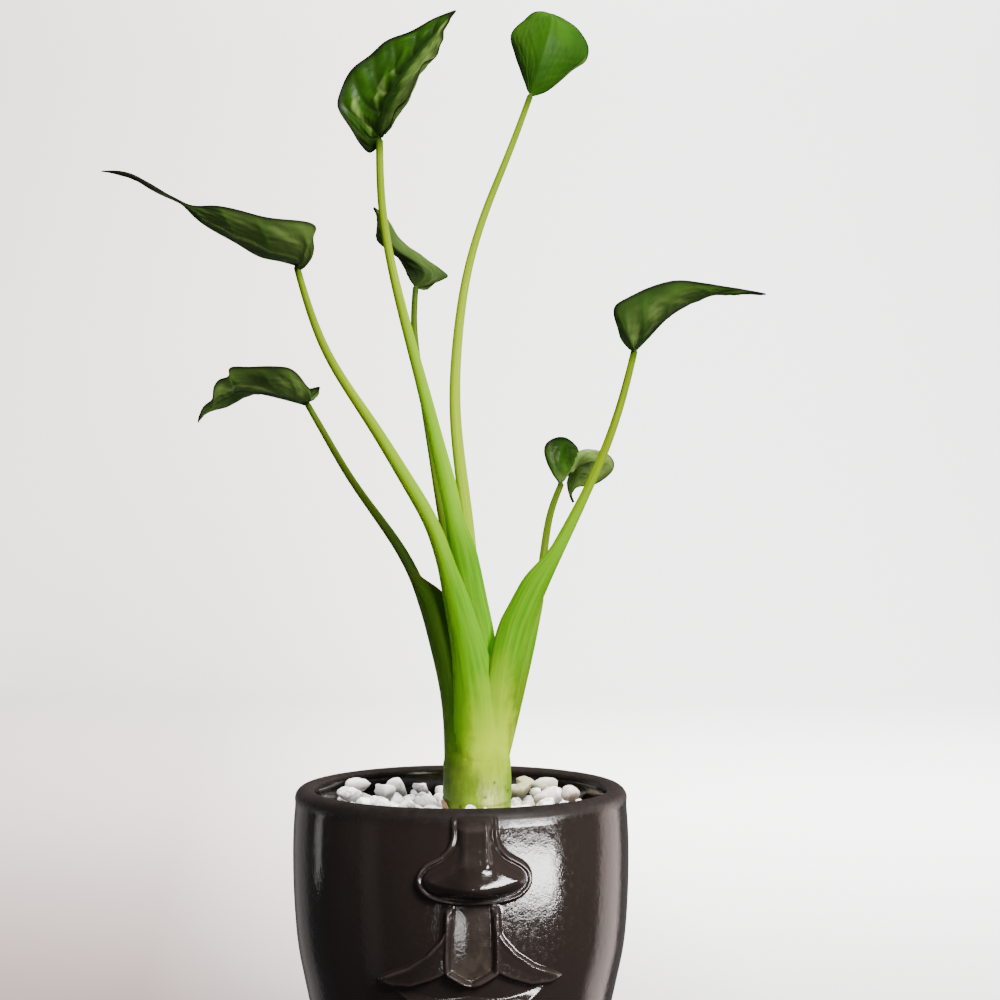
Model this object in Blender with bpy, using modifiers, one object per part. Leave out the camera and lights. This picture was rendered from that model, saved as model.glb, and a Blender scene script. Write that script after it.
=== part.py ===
# Small alocasia with seven cupped leaves, in a glazed pot with a nose and lips in relief.
# The origin is the centre of the pot's foot, +Z is up and -Y is the side with the face.
import math

import bmesh
import bpy
import numpy as np
from mathutils import Matrix

# Driving dimensions, in millimetres
MM = 0.001
FIT_GAP = 0.3
POT_HEIGHT = 118.0
POT_RADIUS = 60.0
RIM_RADIUS = 55.6
RIM_HALF_WIDTH = 3.9
FOOT_RADIUS = 33.0
FOOT_FLARE = 2.6
WALL = 7.0
FLOOR = 8.0
GRAVEL_BOTTOM = 104.0
GRAVEL_TOP = 110.8
STEM_CENTRE = (5.8, -8.0)
STEM_RADIUS = 12.2
STEM_BOTTOM = 88.0
STEM_TOP = 138.0
BLADE_THICKNESS = 0.8
SHEATH_EDGE = 0.9
SHARP_ANGLE = math.radians(50.0)

# Outer wall of the pot, from the foot to just under the rim: height and share of the radius
POT_WALL = [(3.0, 0.617), (10.0, 0.692), (20.0, 0.775), (30.0, 0.842), (42.0, 0.900),
            (51.0, 0.933), (59.7, 0.963), (72.8, 0.988), (91.0, 1.0), (104.0, 0.997), (112.0, 0.988)]
# Inner wall of the pot, from under the rim to the floor: height and radius
INNER_WALL = [(112.0, 51.7), (103.0, 52.2), (88.0, 52.6), (60.0, 50.6), (35.0, 45.2), (18.0, 37.0),
              (FLOOR, 29.0)]
# Angles round the rim's section where it has its corners
RIM_TURNS = (30.0, 65.0, 100.0, 135.0)
# Side of the trunk, from its rounded foot in the soil to the dome that the sheaths hide: height
# and share of its radius
STEM_SIDE = [(90.0, 0.49), (94.0, 0.79), (101.0, 0.93), (109.0, 1.0), (119.0, 1.016), (125.5, 0.99),
             (129.0, 0.85), (133.0, 0.62), (136.5, 0.33)]
SOIL_LEVELS = (18.0, 35.0, 60.0, 88.0)

# The face looks a little to the right of -Y
FACE_AZIMUTH = math.radians(4.5)
FACE_HALF_ARC = math.radians(38.0)
FACE_COLUMNS = 42
BACK_COLUMNS = 22
FACE_ROWS = 30
FACE_LOWEST = 42.0


def spline_through(points, at, knots=None):
    """Natural cubic spline through the points, and its slope, read at distances along the chords."""
    points = np.asarray(points, float)
    if knots is None:
        knots = np.concatenate([[0.0], np.cumsum(np.linalg.norm(np.diff(points, axis=0), axis=1))])
    count = len(knots)
    step = np.diff(knots)
    matrix = np.eye(count)
    right = np.zeros_like(points)
    for i in range(1, count - 1):
        matrix[i, i - 1:i + 2] = (step[i - 1], 2.0 * (step[i - 1] + step[i]), step[i])
        after = (points[i + 1] - points[i]) / step[i]
        before = (points[i] - points[i - 1]) / step[i - 1]
        right[i] = 6.0 * (after - before)
    bend = np.linalg.solve(matrix, right)
    at = np.clip(at, knots[0], knots[-1])
    k = np.clip(np.searchsorted(knots, at, side="right") - 1, 0, count - 2)
    h = step[k][:, None]
    u = (knots[k + 1] - at)[:, None]
    v = (at - knots[k])[:, None]
    place = (bend[k] * u ** 3 + bend[k + 1] * v ** 3) / (6.0 * h)
    place += (points[k] / h - bend[k] * h / 6.0) * u + (points[k + 1] / h - bend[k + 1] * h / 6.0) * v
    slope = (bend[k + 1] * v ** 2 - bend[k] * u ** 2) / (2.0 * h)
    slope += (points[k + 1] - points[k]) / h - (bend[k + 1] - bend[k]) * h / 6.0
    return place, slope


def chord_length(points):
    return float(np.linalg.norm(np.diff(np.asarray(points, float), axis=0), axis=1).sum())


def read_at(pairs, place):
    """Value at a place, between the pairs of place and value."""
    return np.interp(place, [at for at, _ in pairs], [value for _, value in pairs])


def unit(rows):
    return rows / np.linalg.norm(rows, axis=-1, keepdims=True)


def smooth_step(x):
    x = np.clip(x, 0.0, 1.0)
    return x * x * (3.0 - 2.0 * x)


def make_material(name, colour, roughness, metallic=0.0):
    material = bpy.data.materials.new(name)
    material.use_nodes = True
    shader = material.node_tree.nodes["Principled BSDF"]
    shader.inputs["Base Color"].default_value = (*colour, 1.0)
    shader.inputs["Roughness"].default_value = roughness
    shader.inputs["Metallic"].default_value = metallic
    return material


def link_object(name, mesh, collection, material=None):
    piece = bpy.data.objects.new(name, mesh)
    collection.objects.link(piece)
    if material is not None:
        mesh.materials.clear()
        mesh.materials.append(material)
    return piece


def mesh_from_bmesh(name, shape):
    """Metres from millimetres, normals outwards, smooth shading with sharp edges kept."""
    bmesh.ops.remove_doubles(shape, verts=shape.verts, dist=0.01)
    bmesh.ops.recalc_face_normals(shape, faces=shape.faces)
    bmesh.ops.scale(shape, vec=(MM, MM, MM), verts=shape.verts)
    mesh = bpy.data.meshes.new(name)
    shape.to_mesh(mesh)
    shape.free()
    mesh.shade_smooth()
    mesh.set_sharp_from_angle(angle=SHARP_ANGLE)
    return mesh


def grid_faces(rows, columns, closed):
    """Corner numbers of the quads of a grid of points, wrapped round when it is closed."""
    wrap = columns if closed else columns - 1
    faces = []
    for i in range(rows - 1):
        for j in range(wrap):
            k = (j + 1) % columns
            low, high = i * columns, (i + 1) * columns
            faces.append((low + j, low + k, high + k, high + j))
    return faces


def evaluated_mesh(piece):
    depsgraph = bpy.context.evaluated_depsgraph_get()
    return bpy.data.meshes.new_from_object(piece.evaluated_get(depsgraph))


def keep_largest(mesh):
    """Drop every loose scrap that a cut left, so that one closed body stays."""
    shape = bmesh.new()
    shape.from_mesh(mesh)
    bmesh.ops.remove_doubles(shape, verts=shape.verts, dist=0.000001)
    waiting = set(shape.faces)
    islands = []
    while waiting:
        island = set()
        front = [next(iter(waiting))]
        while front:
            face = front.pop()
            if face in island:
                continue
            island.add(face)
            front.extend(other for edge in face.edges for other in edge.link_faces)
        waiting -= island
        islands.append(island)
    largest = max(islands, key=len)
    bmesh.ops.delete(shape, geom=[face for face in shape.faces if face not in largest], context="FACES")
    shape.to_mesh(mesh)
    shape.free()


def apply_boolean(piece, operand, operation, solver="EXACT"):
    """Apply one Boolean with an object, or with a collection when several are joined."""
    cut = piece.modifiers.new("cut", "BOOLEAN")
    cut.operation = operation
    cut.solver = solver
    if isinstance(operand, bpy.types.Collection):
        cut.operand_type = "COLLECTION"
        cut.collection = operand
    else:
        cut.object = operand
    material = piece.data.materials[0]
    mesh = evaluated_mesh(piece)
    piece.modifiers.clear()
    piece.data = mesh
    mesh.materials.clear()
    mesh.materials.append(material)
    keep_largest(mesh)


# Relief of the face. Distances across are measured along the wall from the face's middle.
NOSE_SHIFT = 1.2
# Half width of the nose by height, and height of its lower edge by distance from its middle
NOSE_SIDE = [(88.0, 14.5), (93.0, 18.6), (96.5, 19.4), (99.5, 17.6), (102.5, 11.5), (106.0, 8.2),
             (118.0, 7.8)]
NOSE_FLOOR = [(0.0, 89.0), (9.0, 88.4), (15.0, 90.3), (19.5, 96.0)]
NOSE_BRIDGE, NOSE_TIP, NOSE_WING = 4.2, 8.5, 4.8
NOSE_TIP_HEIGHT, NOSE_TIP_SPREAD, NOSE_FLARE_HEIGHT = 94.0, 7.2, 106.0
# Upper edge and lower edge of the upper lip by distance from the middle
LIP_UPPER = [(6.0, 82.0), (9.0, 76.5), (12.0, 72.6), (16.0, 69.4), (21.0, 67.0), (27.0, 65.6),
             (37.0, 64.2)]
LIP_LOWER = [(0.0, 60.2), (7.0, 64.2), (11.0, 61.4), (18.0, 59.6), (27.0, 60.8), (33.0, 62.6),
             (37.0, 64.0)]
LIP_HEIGHT, LIP_HALF_WIDTH, LIP_CORNER = 2.6, 38.0, 6.0
# The groove from the nose to the lip, with a ridge along each edge and a pointed lower end
PHILTRUM_HALF_WIDTH, PHILTRUM_TOP, PHILTRUM_SHOULDER, PHILTRUM_POINT = 6.9, 87.5, 65.6, 60.4
RIDGE_HEIGHT, RIDGE_OUT, RIDGE_SPREAD = 1.8, 0.8, 2.2
LOWER_LIP_CENTRE, LOWER_LIP_HALF, LOWER_LIP_SPREAD, LOWER_LIP_HEIGHT = 52.0, 7.5, 27.0, 3.4
# How wide the steps between the levels of the relief are, and how far they are blurred
RELIEF_STEP = 4.6
RELIEF_BLUR = 1.3


def face_relief(across, height):
    """How far the wall stands out, at a distance across from the face's middle and a height.

    Each form is a plateau inside its outline, whose edge is a smooth step."""
    off = across - NOSE_SHIFT
    floor = read_at(NOSE_FLOOR, np.abs(off))
    nose = smooth_step((read_at(NOSE_SIDE, height) - np.abs(off)) / RELIEF_STEP + 0.2)
    nose *= smooth_step((height - floor) / RELIEF_STEP + 0.2)
    nose *= smooth_step((POT_HEIGHT - 2.0 - height) / RELIEF_STEP)
    tip = np.exp(-((height - NOSE_TIP_HEIGHT) / NOSE_TIP_SPREAD) ** 2)
    ridge = NOSE_BRIDGE + (NOSE_TIP - NOSE_BRIDGE) * tip
    flare = smooth_step((NOSE_FLARE_HEIGHT - height) / NOSE_TIP_SPREAD)
    body = NOSE_WING + (ridge - NOSE_WING) * np.exp(-(off / NOSE_TIP_SPREAD) ** 2)
    nose *= ridge + (body - ridge) * flare
    side = np.abs(across)
    lip_floor = read_at(LIP_LOWER, side)
    lip = smooth_step((read_at(LIP_UPPER, side) - height) / RELIEF_STEP + 0.2)
    lip *= smooth_step((height - lip_floor) / RELIEF_STEP + 0.4)
    lip *= LIP_HEIGHT * smooth_step((LIP_HALF_WIDTH - side) / LIP_CORNER)
    band = smooth_step((PHILTRUM_TOP - height) / RELIEF_STEP)
    band *= smooth_step((height - PHILTRUM_POINT) / RELIEF_STEP + 0.5)
    taper = np.clip((height - PHILTRUM_POINT) / (PHILTRUM_SHOULDER - PHILTRUM_POINT), 0.0, 1.0)
    half = PHILTRUM_HALF_WIDTH * taper
    groove = smooth_step((half - side) / RELIEF_STEP + 0.2) * band
    edge = RIDGE_HEIGHT * np.exp(-((side - half - RIDGE_OUT) / RIDGE_SPREAD) ** 2) * band
    reach = 1.0 - (side / LOWER_LIP_SPREAD) ** 2 - ((height - LOWER_LIP_CENTRE) / LOWER_LIP_HALF) ** 2
    lower = LOWER_LIP_HEIGHT * smooth_step(reach)
    return nose + lip * (1.0 - groove) + edge + lower


def pot_profile():
    """Half section of the pot from the middle of its foot, over its round rim and down to its floor."""
    low = [z for z, _ in POT_WALL if z < FACE_LOWEST]
    heights = np.concatenate([low, np.linspace(FACE_LOWEST, POT_WALL[-1][0], FACE_ROWS)])
    knots = np.array([height for height, _ in POT_WALL])
    wall, _ = spline_through([(share,) for _, share in POT_WALL], heights, knots)
    profile = [(0.0, 0.0), (FOOT_RADIUS, 0.0), (FOOT_RADIUS + FOOT_FLARE, 1.0)]
    profile += [(POT_RADIUS * float(r), float(z)) for r, z in zip(wall[:, 0], heights)]
    for turn in RIM_TURNS:
        angle = math.radians(turn)
        profile.append((RIM_RADIUS + RIM_HALF_WIDTH * math.cos(angle),
                        POT_HEIGHT - RIM_HALF_WIDTH + RIM_HALF_WIDTH * math.sin(angle)))
    profile += [(radius, height) for height, radius in INNER_WALL]
    profile.append((0.0, FLOOR))
    return profile


def make_pot(collection, material):
    """Turned twice, finely over the face and coarsely behind, then the face is raised."""
    profile = pot_profile()
    start = FACE_AZIMUTH - FACE_HALF_ARC
    shape = bmesh.new()
    verts = [shape.verts.new((r * math.sin(start), -r * math.cos(start), z)) for r, z in profile]
    section = verts + [shape.edges.new(pair) for pair in zip(verts, verts[1:])]
    face_arc = 2.0 * FACE_HALF_ARC
    for angle, steps in ((face_arc, FACE_COLUMNS), (2.0 * math.pi - face_arc, BACK_COLUMNS)):
        turned = bmesh.ops.spin(shape, geom=section, cent=(0, 0, 0), axis=(0, 0, 1), dvec=(0, 0, 0),
                                angle=angle, steps=steps)
        section = turned["geom_last"]
    bmesh.ops.remove_doubles(shape, verts=shape.verts, dist=0.01)
    place = np.array([v.co for v in shape.verts])
    radius = np.hypot(place[:, 0], place[:, 1])
    azimuth = np.arctan2(place[:, 0], -place[:, 1]) - FACE_AZIMUTH
    outer = radius > POT_RADIUS * read_at(POT_WALL, place[:, 2]) - WALL * 0.5
    outer &= place[:, 2] > FACE_LOWEST - 1.0
    across = azimuth * POT_RADIUS
    raised = np.zeros(len(place))
    for a in (-RELIEF_BLUR, 0.0, RELIEF_BLUR):
        for b in (-RELIEF_BLUR, 0.0, RELIEF_BLUR):
            raised += face_relief(across + a, place[:, 2] + b) / 9.0
    raised *= outer * (np.abs(azimuth) < FACE_HALF_ARC)
    factor = 1.0 + raised / np.maximum(radius, 1.0)
    place[:, 0] *= factor
    place[:, 1] *= factor
    for vertex, spot in zip(shape.verts, place):
        vertex.co = spot
    bmesh.ops.triangulate(shape, faces=shape.faces, quad_method="SHORT_EDGE")
    return link_object("pot", mesh_from_bmesh("pot", shape), collection, material)


def turned_solid(name, profile, centre, segments, collection, material):
    """Solid of revolution about a vertical axis through the centre."""
    shape = bmesh.new()
    verts = [shape.verts.new((centre[0] + r, centre[1], z)) for r, z in profile]
    section = verts + [shape.edges.new(pair) for pair in zip(verts, verts[1:])]
    bmesh.ops.spin(shape, geom=section, cent=(*centre, 0), axis=(0, 0, 1), dvec=(0, 0, 0),
                   angle=2.0 * math.pi, steps=segments)
    return link_object(name, mesh_from_bmesh(name, shape), collection, material)


def stem_profile(grow=0.0):
    """Half section of the trunk, grown all round for a cutter."""
    profile = [(0.0, STEM_BOTTOM - grow)]
    profile += [(STEM_RADIUS * share + grow, height) for height, share in STEM_SIDE]
    profile.append((0.0, STEM_TOP + grow))
    return profile


def make_soil(collection, material):
    """Fills the pot up to the gravel, with a plain hole for the stem."""
    heights = np.array([FLOOR + FIT_GAP, *SOIL_LEVELS, GRAVEL_BOTTOM - FIT_GAP])
    walls = read_at(INNER_WALL[::-1], heights) - FIT_GAP * 1.6
    walls[0] -= 1.0
    profile = [(0.0, heights[0])] + list(zip(walls, heights)) + [(0.0, heights[-1])]
    soil = turned_solid("soil", profile, (0.0, 0.0), 32, collection, material)
    plug = turned_solid("soil_hole", stem_profile(FIT_GAP), STEM_CENTRE, 20, collection, material)
    apply_boolean(soil, plug, "DIFFERENCE")
    bpy.data.objects.remove(plug)
    return soil


# Gravel: rings of pebbles by radius and number, half sunk in a slim bed
PEBBLE_RINGS = [(20.0, 8), (28.5, 13), (37.0, 17), (44.8, 22)]
PEBBLE_SEED = 5
PEBBLE_HALF = (4.6, 6.2)
PEBBLE_SHAPE = (1.0, 0.85, 0.7)
PEBBLE_REACH = 6.4
BED_RADIUS = 51.3


def pebble_places():
    """Jittered rings round the pot's middle, without the place of the stem."""
    rng = np.random.default_rng(PEBBLE_SEED)
    places = []
    for ring, count in PEBBLE_RINGS:
        for i in range(count):
            angle = 2.0 * math.pi * (i + rng.uniform(-0.22, 0.22)) / count
            radius = ring + rng.uniform(-1.4, 1.4)
            half = rng.uniform(*PEBBLE_HALF, 3) * PEBBLE_SHAPE
            spot = (radius * math.cos(angle), radius * math.sin(angle))
            turn = rng.uniform(0.0, math.pi)
            lift = rng.uniform(-0.6, 1.3)
            clear_of_stem = math.dist(spot, STEM_CENTRE) > STEM_RADIUS + PEBBLE_REACH
            if clear_of_stem and radius + PEBBLE_REACH < BED_RADIUS + 0.4:
                places.append((spot, half, turn, lift))
    return places


def make_gravel(collection, material):
    """A slim bed with half-sunk pebbles, joined in one body, with a plain hole for the stem."""
    profile = [(0.0, GRAVEL_BOTTOM), (BED_RADIUS, GRAVEL_BOTTOM), (BED_RADIUS, GRAVEL_TOP - 1.0),
               (BED_RADIUS - 1.5, GRAVEL_TOP), (0.0, GRAVEL_TOP)]
    bed = turned_solid("gravel", profile, (0.0, 0.0), 40, collection, material)
    loose = bpy.data.collections.new("loose_pebbles")
    bpy.context.scene.collection.children.link(loose)
    for i, (spot, half, turn, lift) in enumerate(pebble_places()):
        shape = bmesh.new()
        bmesh.ops.create_icosphere(shape, subdivisions=1, radius=1.15)
        bmesh.ops.scale(shape, vec=tuple(half), verts=shape.verts)
        turned = Matrix.Rotation(turn, 3, "Z")
        bmesh.ops.rotate(shape, cent=(0, 0, 0), matrix=turned, verts=shape.verts)
        bmesh.ops.translate(shape, vec=(*spot, GRAVEL_TOP - 0.2 + lift), verts=shape.verts)
        link_object(f"pebble_{i}", mesh_from_bmesh("pebble", shape), loose, material)
    apply_boolean(bed, loose, "UNION")
    for pebble in list(loose.objects):
        bpy.data.objects.remove(pebble)
    bpy.data.collections.remove(loose)
    plug = turned_solid("gravel_hole", stem_profile(FIT_GAP), STEM_CENTRE, 20, collection, material)
    apply_boolean(bed, plug, "DIFFERENCE")
    bpy.data.objects.remove(plug)
    return bed


# Petioles, innermost first, because each later one is cut to wrap those before it. Each path runs
# from the blade down to the stem. By share of the path's length: across is the stalk's thickness,
# wrap the radius of the sheath's bend, and reach its half angle. facing is the way the stalk's back
# faces, in degrees from -Y towards +X, and sheath where the round stalk opens to a crescent.
PETIOLES = {
    "e": {
        "path": [(-17.2, 24, 299.8), (-17.8, 22, 286.4), (-15.8, 17, 267.6), (-11.5, 10, 241.8),
                 (-6.3, 4, 212.8), (-1.1, 0, 184.2), (2.5, -3, 141.2)],
        "across": [(0, 2.2), (0.4, 3.0), (0.7, 5.0), (1, 6.5)],
        "facing": 170.0, "sheath": (2.0, 3.0), "wrap": [(0, 3), (1, 4)], "reach": [(0, 60), (1, 60)]},
    "b": {
        "path": [(25.6, 22, 370.6), (17.6, 19, 348.6), (9.5, 15, 327.8), (2.7, 11, 305.4),
                 (-1.4, 6, 277.8), (-2.2, 2, 252.3), (-0.2, -1, 230.7), (2.8, -3, 205.7),
                 (4.8, -5, 177.3), (6.4, -5, 141.1)],
        "across": [(0, 2.2), (0.3, 3.0), (0.5, 4.0), (0.75, 4.9), (1, 7.0)],
        "facing": 30.0, "sheath": (2.0, 3.0), "wrap": [(0, 3), (1, 4)], "reach": [(0, 60), (1, 60)]},
    "a": {
        "path": [(-28.9, -6, 349.2), (-28.0, -6, 324.7), (-20.8, -7, 287.4), (-12.3, -8, 255.4),
                 (-6.9, -9, 234.1), (-2.8, -10, 216.5), (0.4, -11, 195.3), (3.4, -11.5, 174.2),
                 (4.4, -11.5, 141.5)],
        "across": [(0, 2.6), (0.2, 3.1), (0.4, 4.1), (0.5, 5.0), (0.6, 6.4), (0.68, 6.6), (0.8, 4.4),
                   (1, 3.0)],
        "facing": -32.0, "sheath": (0.62, 0.72),
        "wrap": [(0.6, 3.0), (0.72, 4.2), (0.85, 5.4), (1, 6.0)],
        "reach": [(0.6, 70), (0.75, 98), (1, 110)]},
    "g": {
        "path": [(36.9, 26, 226.7), (32.7, 23, 215.6), (30.5, 20, 204.2), (27.5, 12, 183.6),
                 (22.4, 4, 158.8), (15.4, -4.5, 128.3)],
        "across": [(0, 2.3), (0.3, 3.0), (0.45, 4.6), (0.7, 4.0), (1, 2.6)],
        "facing": 110.0, "sheath": (0.4, 0.6),
        "wrap": [(0.3, 3.0), (0.5, 4.5), (0.75, 7.0), (1, 10.2)],
        "reach": [(0.3, 50), (0.6, 60), (1, 62)]},
    "c": {
        "path": [(-56.8, -24, 302.0), (-46.3, -21, 271.4), (-31.5, -18, 247.6), (-17.9, -16, 225.6),
                 (-9.9, -16, 211.2), (-4.5, -16.5, 195.8), (-0.1, -17.0, 180.1), (3.4, -17.8, 164.5),
                 (5.6, -18.2, 148.4), (6.2, -18.6, 129.4)],
        "across": [(0, 2.3), (0.25, 3.4), (0.5, 5.2), (0.66, 5.6), (0.8, 4.0), (1, 2.6)],
        "facing": -2.0, "sheath": (0.5, 0.7),
        "wrap": [(0.45, 2.6), (0.63, 3.4), (0.78, 6.0), (0.88, 8.0), (1, 10.3)],
        "reach": [(0.45, 50), (0.65, 62), (0.85, 62), (1, 52)]},
    "f": {
        "path": [(60.8, -22, 272.8), (56.1, -20, 254.1), (48.8, -17, 233.3), (40.8, -14, 215.8),
                 (31.8, -13, 198.2), (23.8, -14, 181.3), (18.9, -15, 163.7), (16.0, -15, 147.9),
                 (14.2, -14.6, 127.4)],
        "across": [(0, 2.4), (0.35, 3.3), (0.5, 5.0), (0.65, 5.2), (0.8, 3.8), (1, 2.6)],
        "facing": 48.0, "sheath": (0.44, 0.60),
        "wrap": [(0.4, 3.0), (0.55, 4.4), (0.75, 7.0), (0.88, 8.8), (1, 10.4)],
        "reach": [(0.38, 58), (0.5, 72), (0.68, 82), (0.8, 66), (0.88, 46), (1, 42)]},
    "d": {
        "path": [(-55.7, 2, 255.2), (-48.8, 1, 243.3), (-39.8, 0, 228.2), (-28.9, -2, 212.9),
                 (-20.8, -4, 201.1), (-13.1, -6, 184.5), (-8.9, -7, 168.6), (-5.3, -8, 149.2),
                 (-4.4, -9, 129.4)],
        "across": [(0, 2.2), (0.3, 2.9), (0.45, 3.8), (0.6, 4.6), (0.8, 3.6), (1, 2.6)],
        "facing": -80.0, "sheath": (0.50, 0.60),
        "wrap": [(0.45, 3.4), (0.6, 6.0), (0.75, 7.6), (1, 10.3)],
        "reach": [(0.48, 60), (0.62, 100), (1, 70)]},
}
PETIOLE_STATIONS = 17
PETIOLE_SIDES = 12
SHEATH_TAPER = 1.3
# How far down its path a stalk starts, so that it stays clear of the edge of its blade
STALK_GAP = 1.7


def petiole_mesh(name, spec, grow=0.0):
    """A loft from a round stalk to a crescent that wraps the stem's axis."""
    length = chord_length(spec["path"])
    share = np.linspace(STALK_GAP / length, 1.0, PETIOLE_STATIONS)
    centre, along = spline_through(spec["path"], share * length)
    along = unit(along)
    centre[0] -= along[0] * grow
    centre[-1] += along[-1] * grow
    facing = math.radians(spec["facing"])
    back = np.tile([math.sin(facing), -math.cos(facing), 0.0], (PETIOLE_STATIONS, 1))
    back = unit(back - along * np.sum(back * along, axis=1, keepdims=True))
    side = np.cross(along, back)
    thick = read_at(spec["across"], share)[:, None] + 2.0 * grow
    wrap = read_at(spec["wrap"], share)[:, None]
    reach = np.radians(read_at(spec["reach"], share))[:, None]
    blend = smooth_step((share - spec["sheath"][0]) / (spec["sheath"][1] - spec["sheath"][0]))[:, None]
    turn = (np.arange(PETIOLE_SIDES) + 0.5) / PETIOLE_SIDES * 2.0 * math.pi - math.pi
    outer = np.abs(turn) <= math.pi / 2
    q = np.where(outer, turn, np.sign(turn) * (math.pi - np.abs(turn)))
    q /= np.abs(q).max()
    edge = SHEATH_EDGE + 2.0 * grow
    wall = (thick - edge) * np.cos(q * math.pi / 2) ** SHEATH_TAPER + edge
    bend_radius = wrap + np.where(outer, 0.5, -0.5) * wall
    fan = q * (reach + grow / wrap)
    round_out, round_side = thick / 2 * np.cos(turn), thick / 2 * np.sin(turn)
    out = round_out * (1.0 - blend) + (bend_radius * np.cos(fan) - wrap) * blend
    across = round_side * (1.0 - blend) + bend_radius * np.sin(fan) * blend
    points = centre[:, None, :] + back[:, None, :] * out[..., None] + side[:, None, :] * across[..., None]
    faces = grid_faces(PETIOLE_STATIONS, PETIOLE_SIDES, True)
    faces += [tuple(range(PETIOLE_SIDES)), tuple(range(len(points) * PETIOLE_SIDES))[-PETIOLE_SIDES:]]
    shape = bmesh.new()
    verts = [shape.verts.new(spot) for spot in points.reshape(-1, 3)]
    for corners in faces:
        shape.faces.new([verts[i] for i in corners])
    bmesh.ops.triangulate(shape, faces=shape.faces)
    return mesh_from_bmesh(name, shape)


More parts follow.
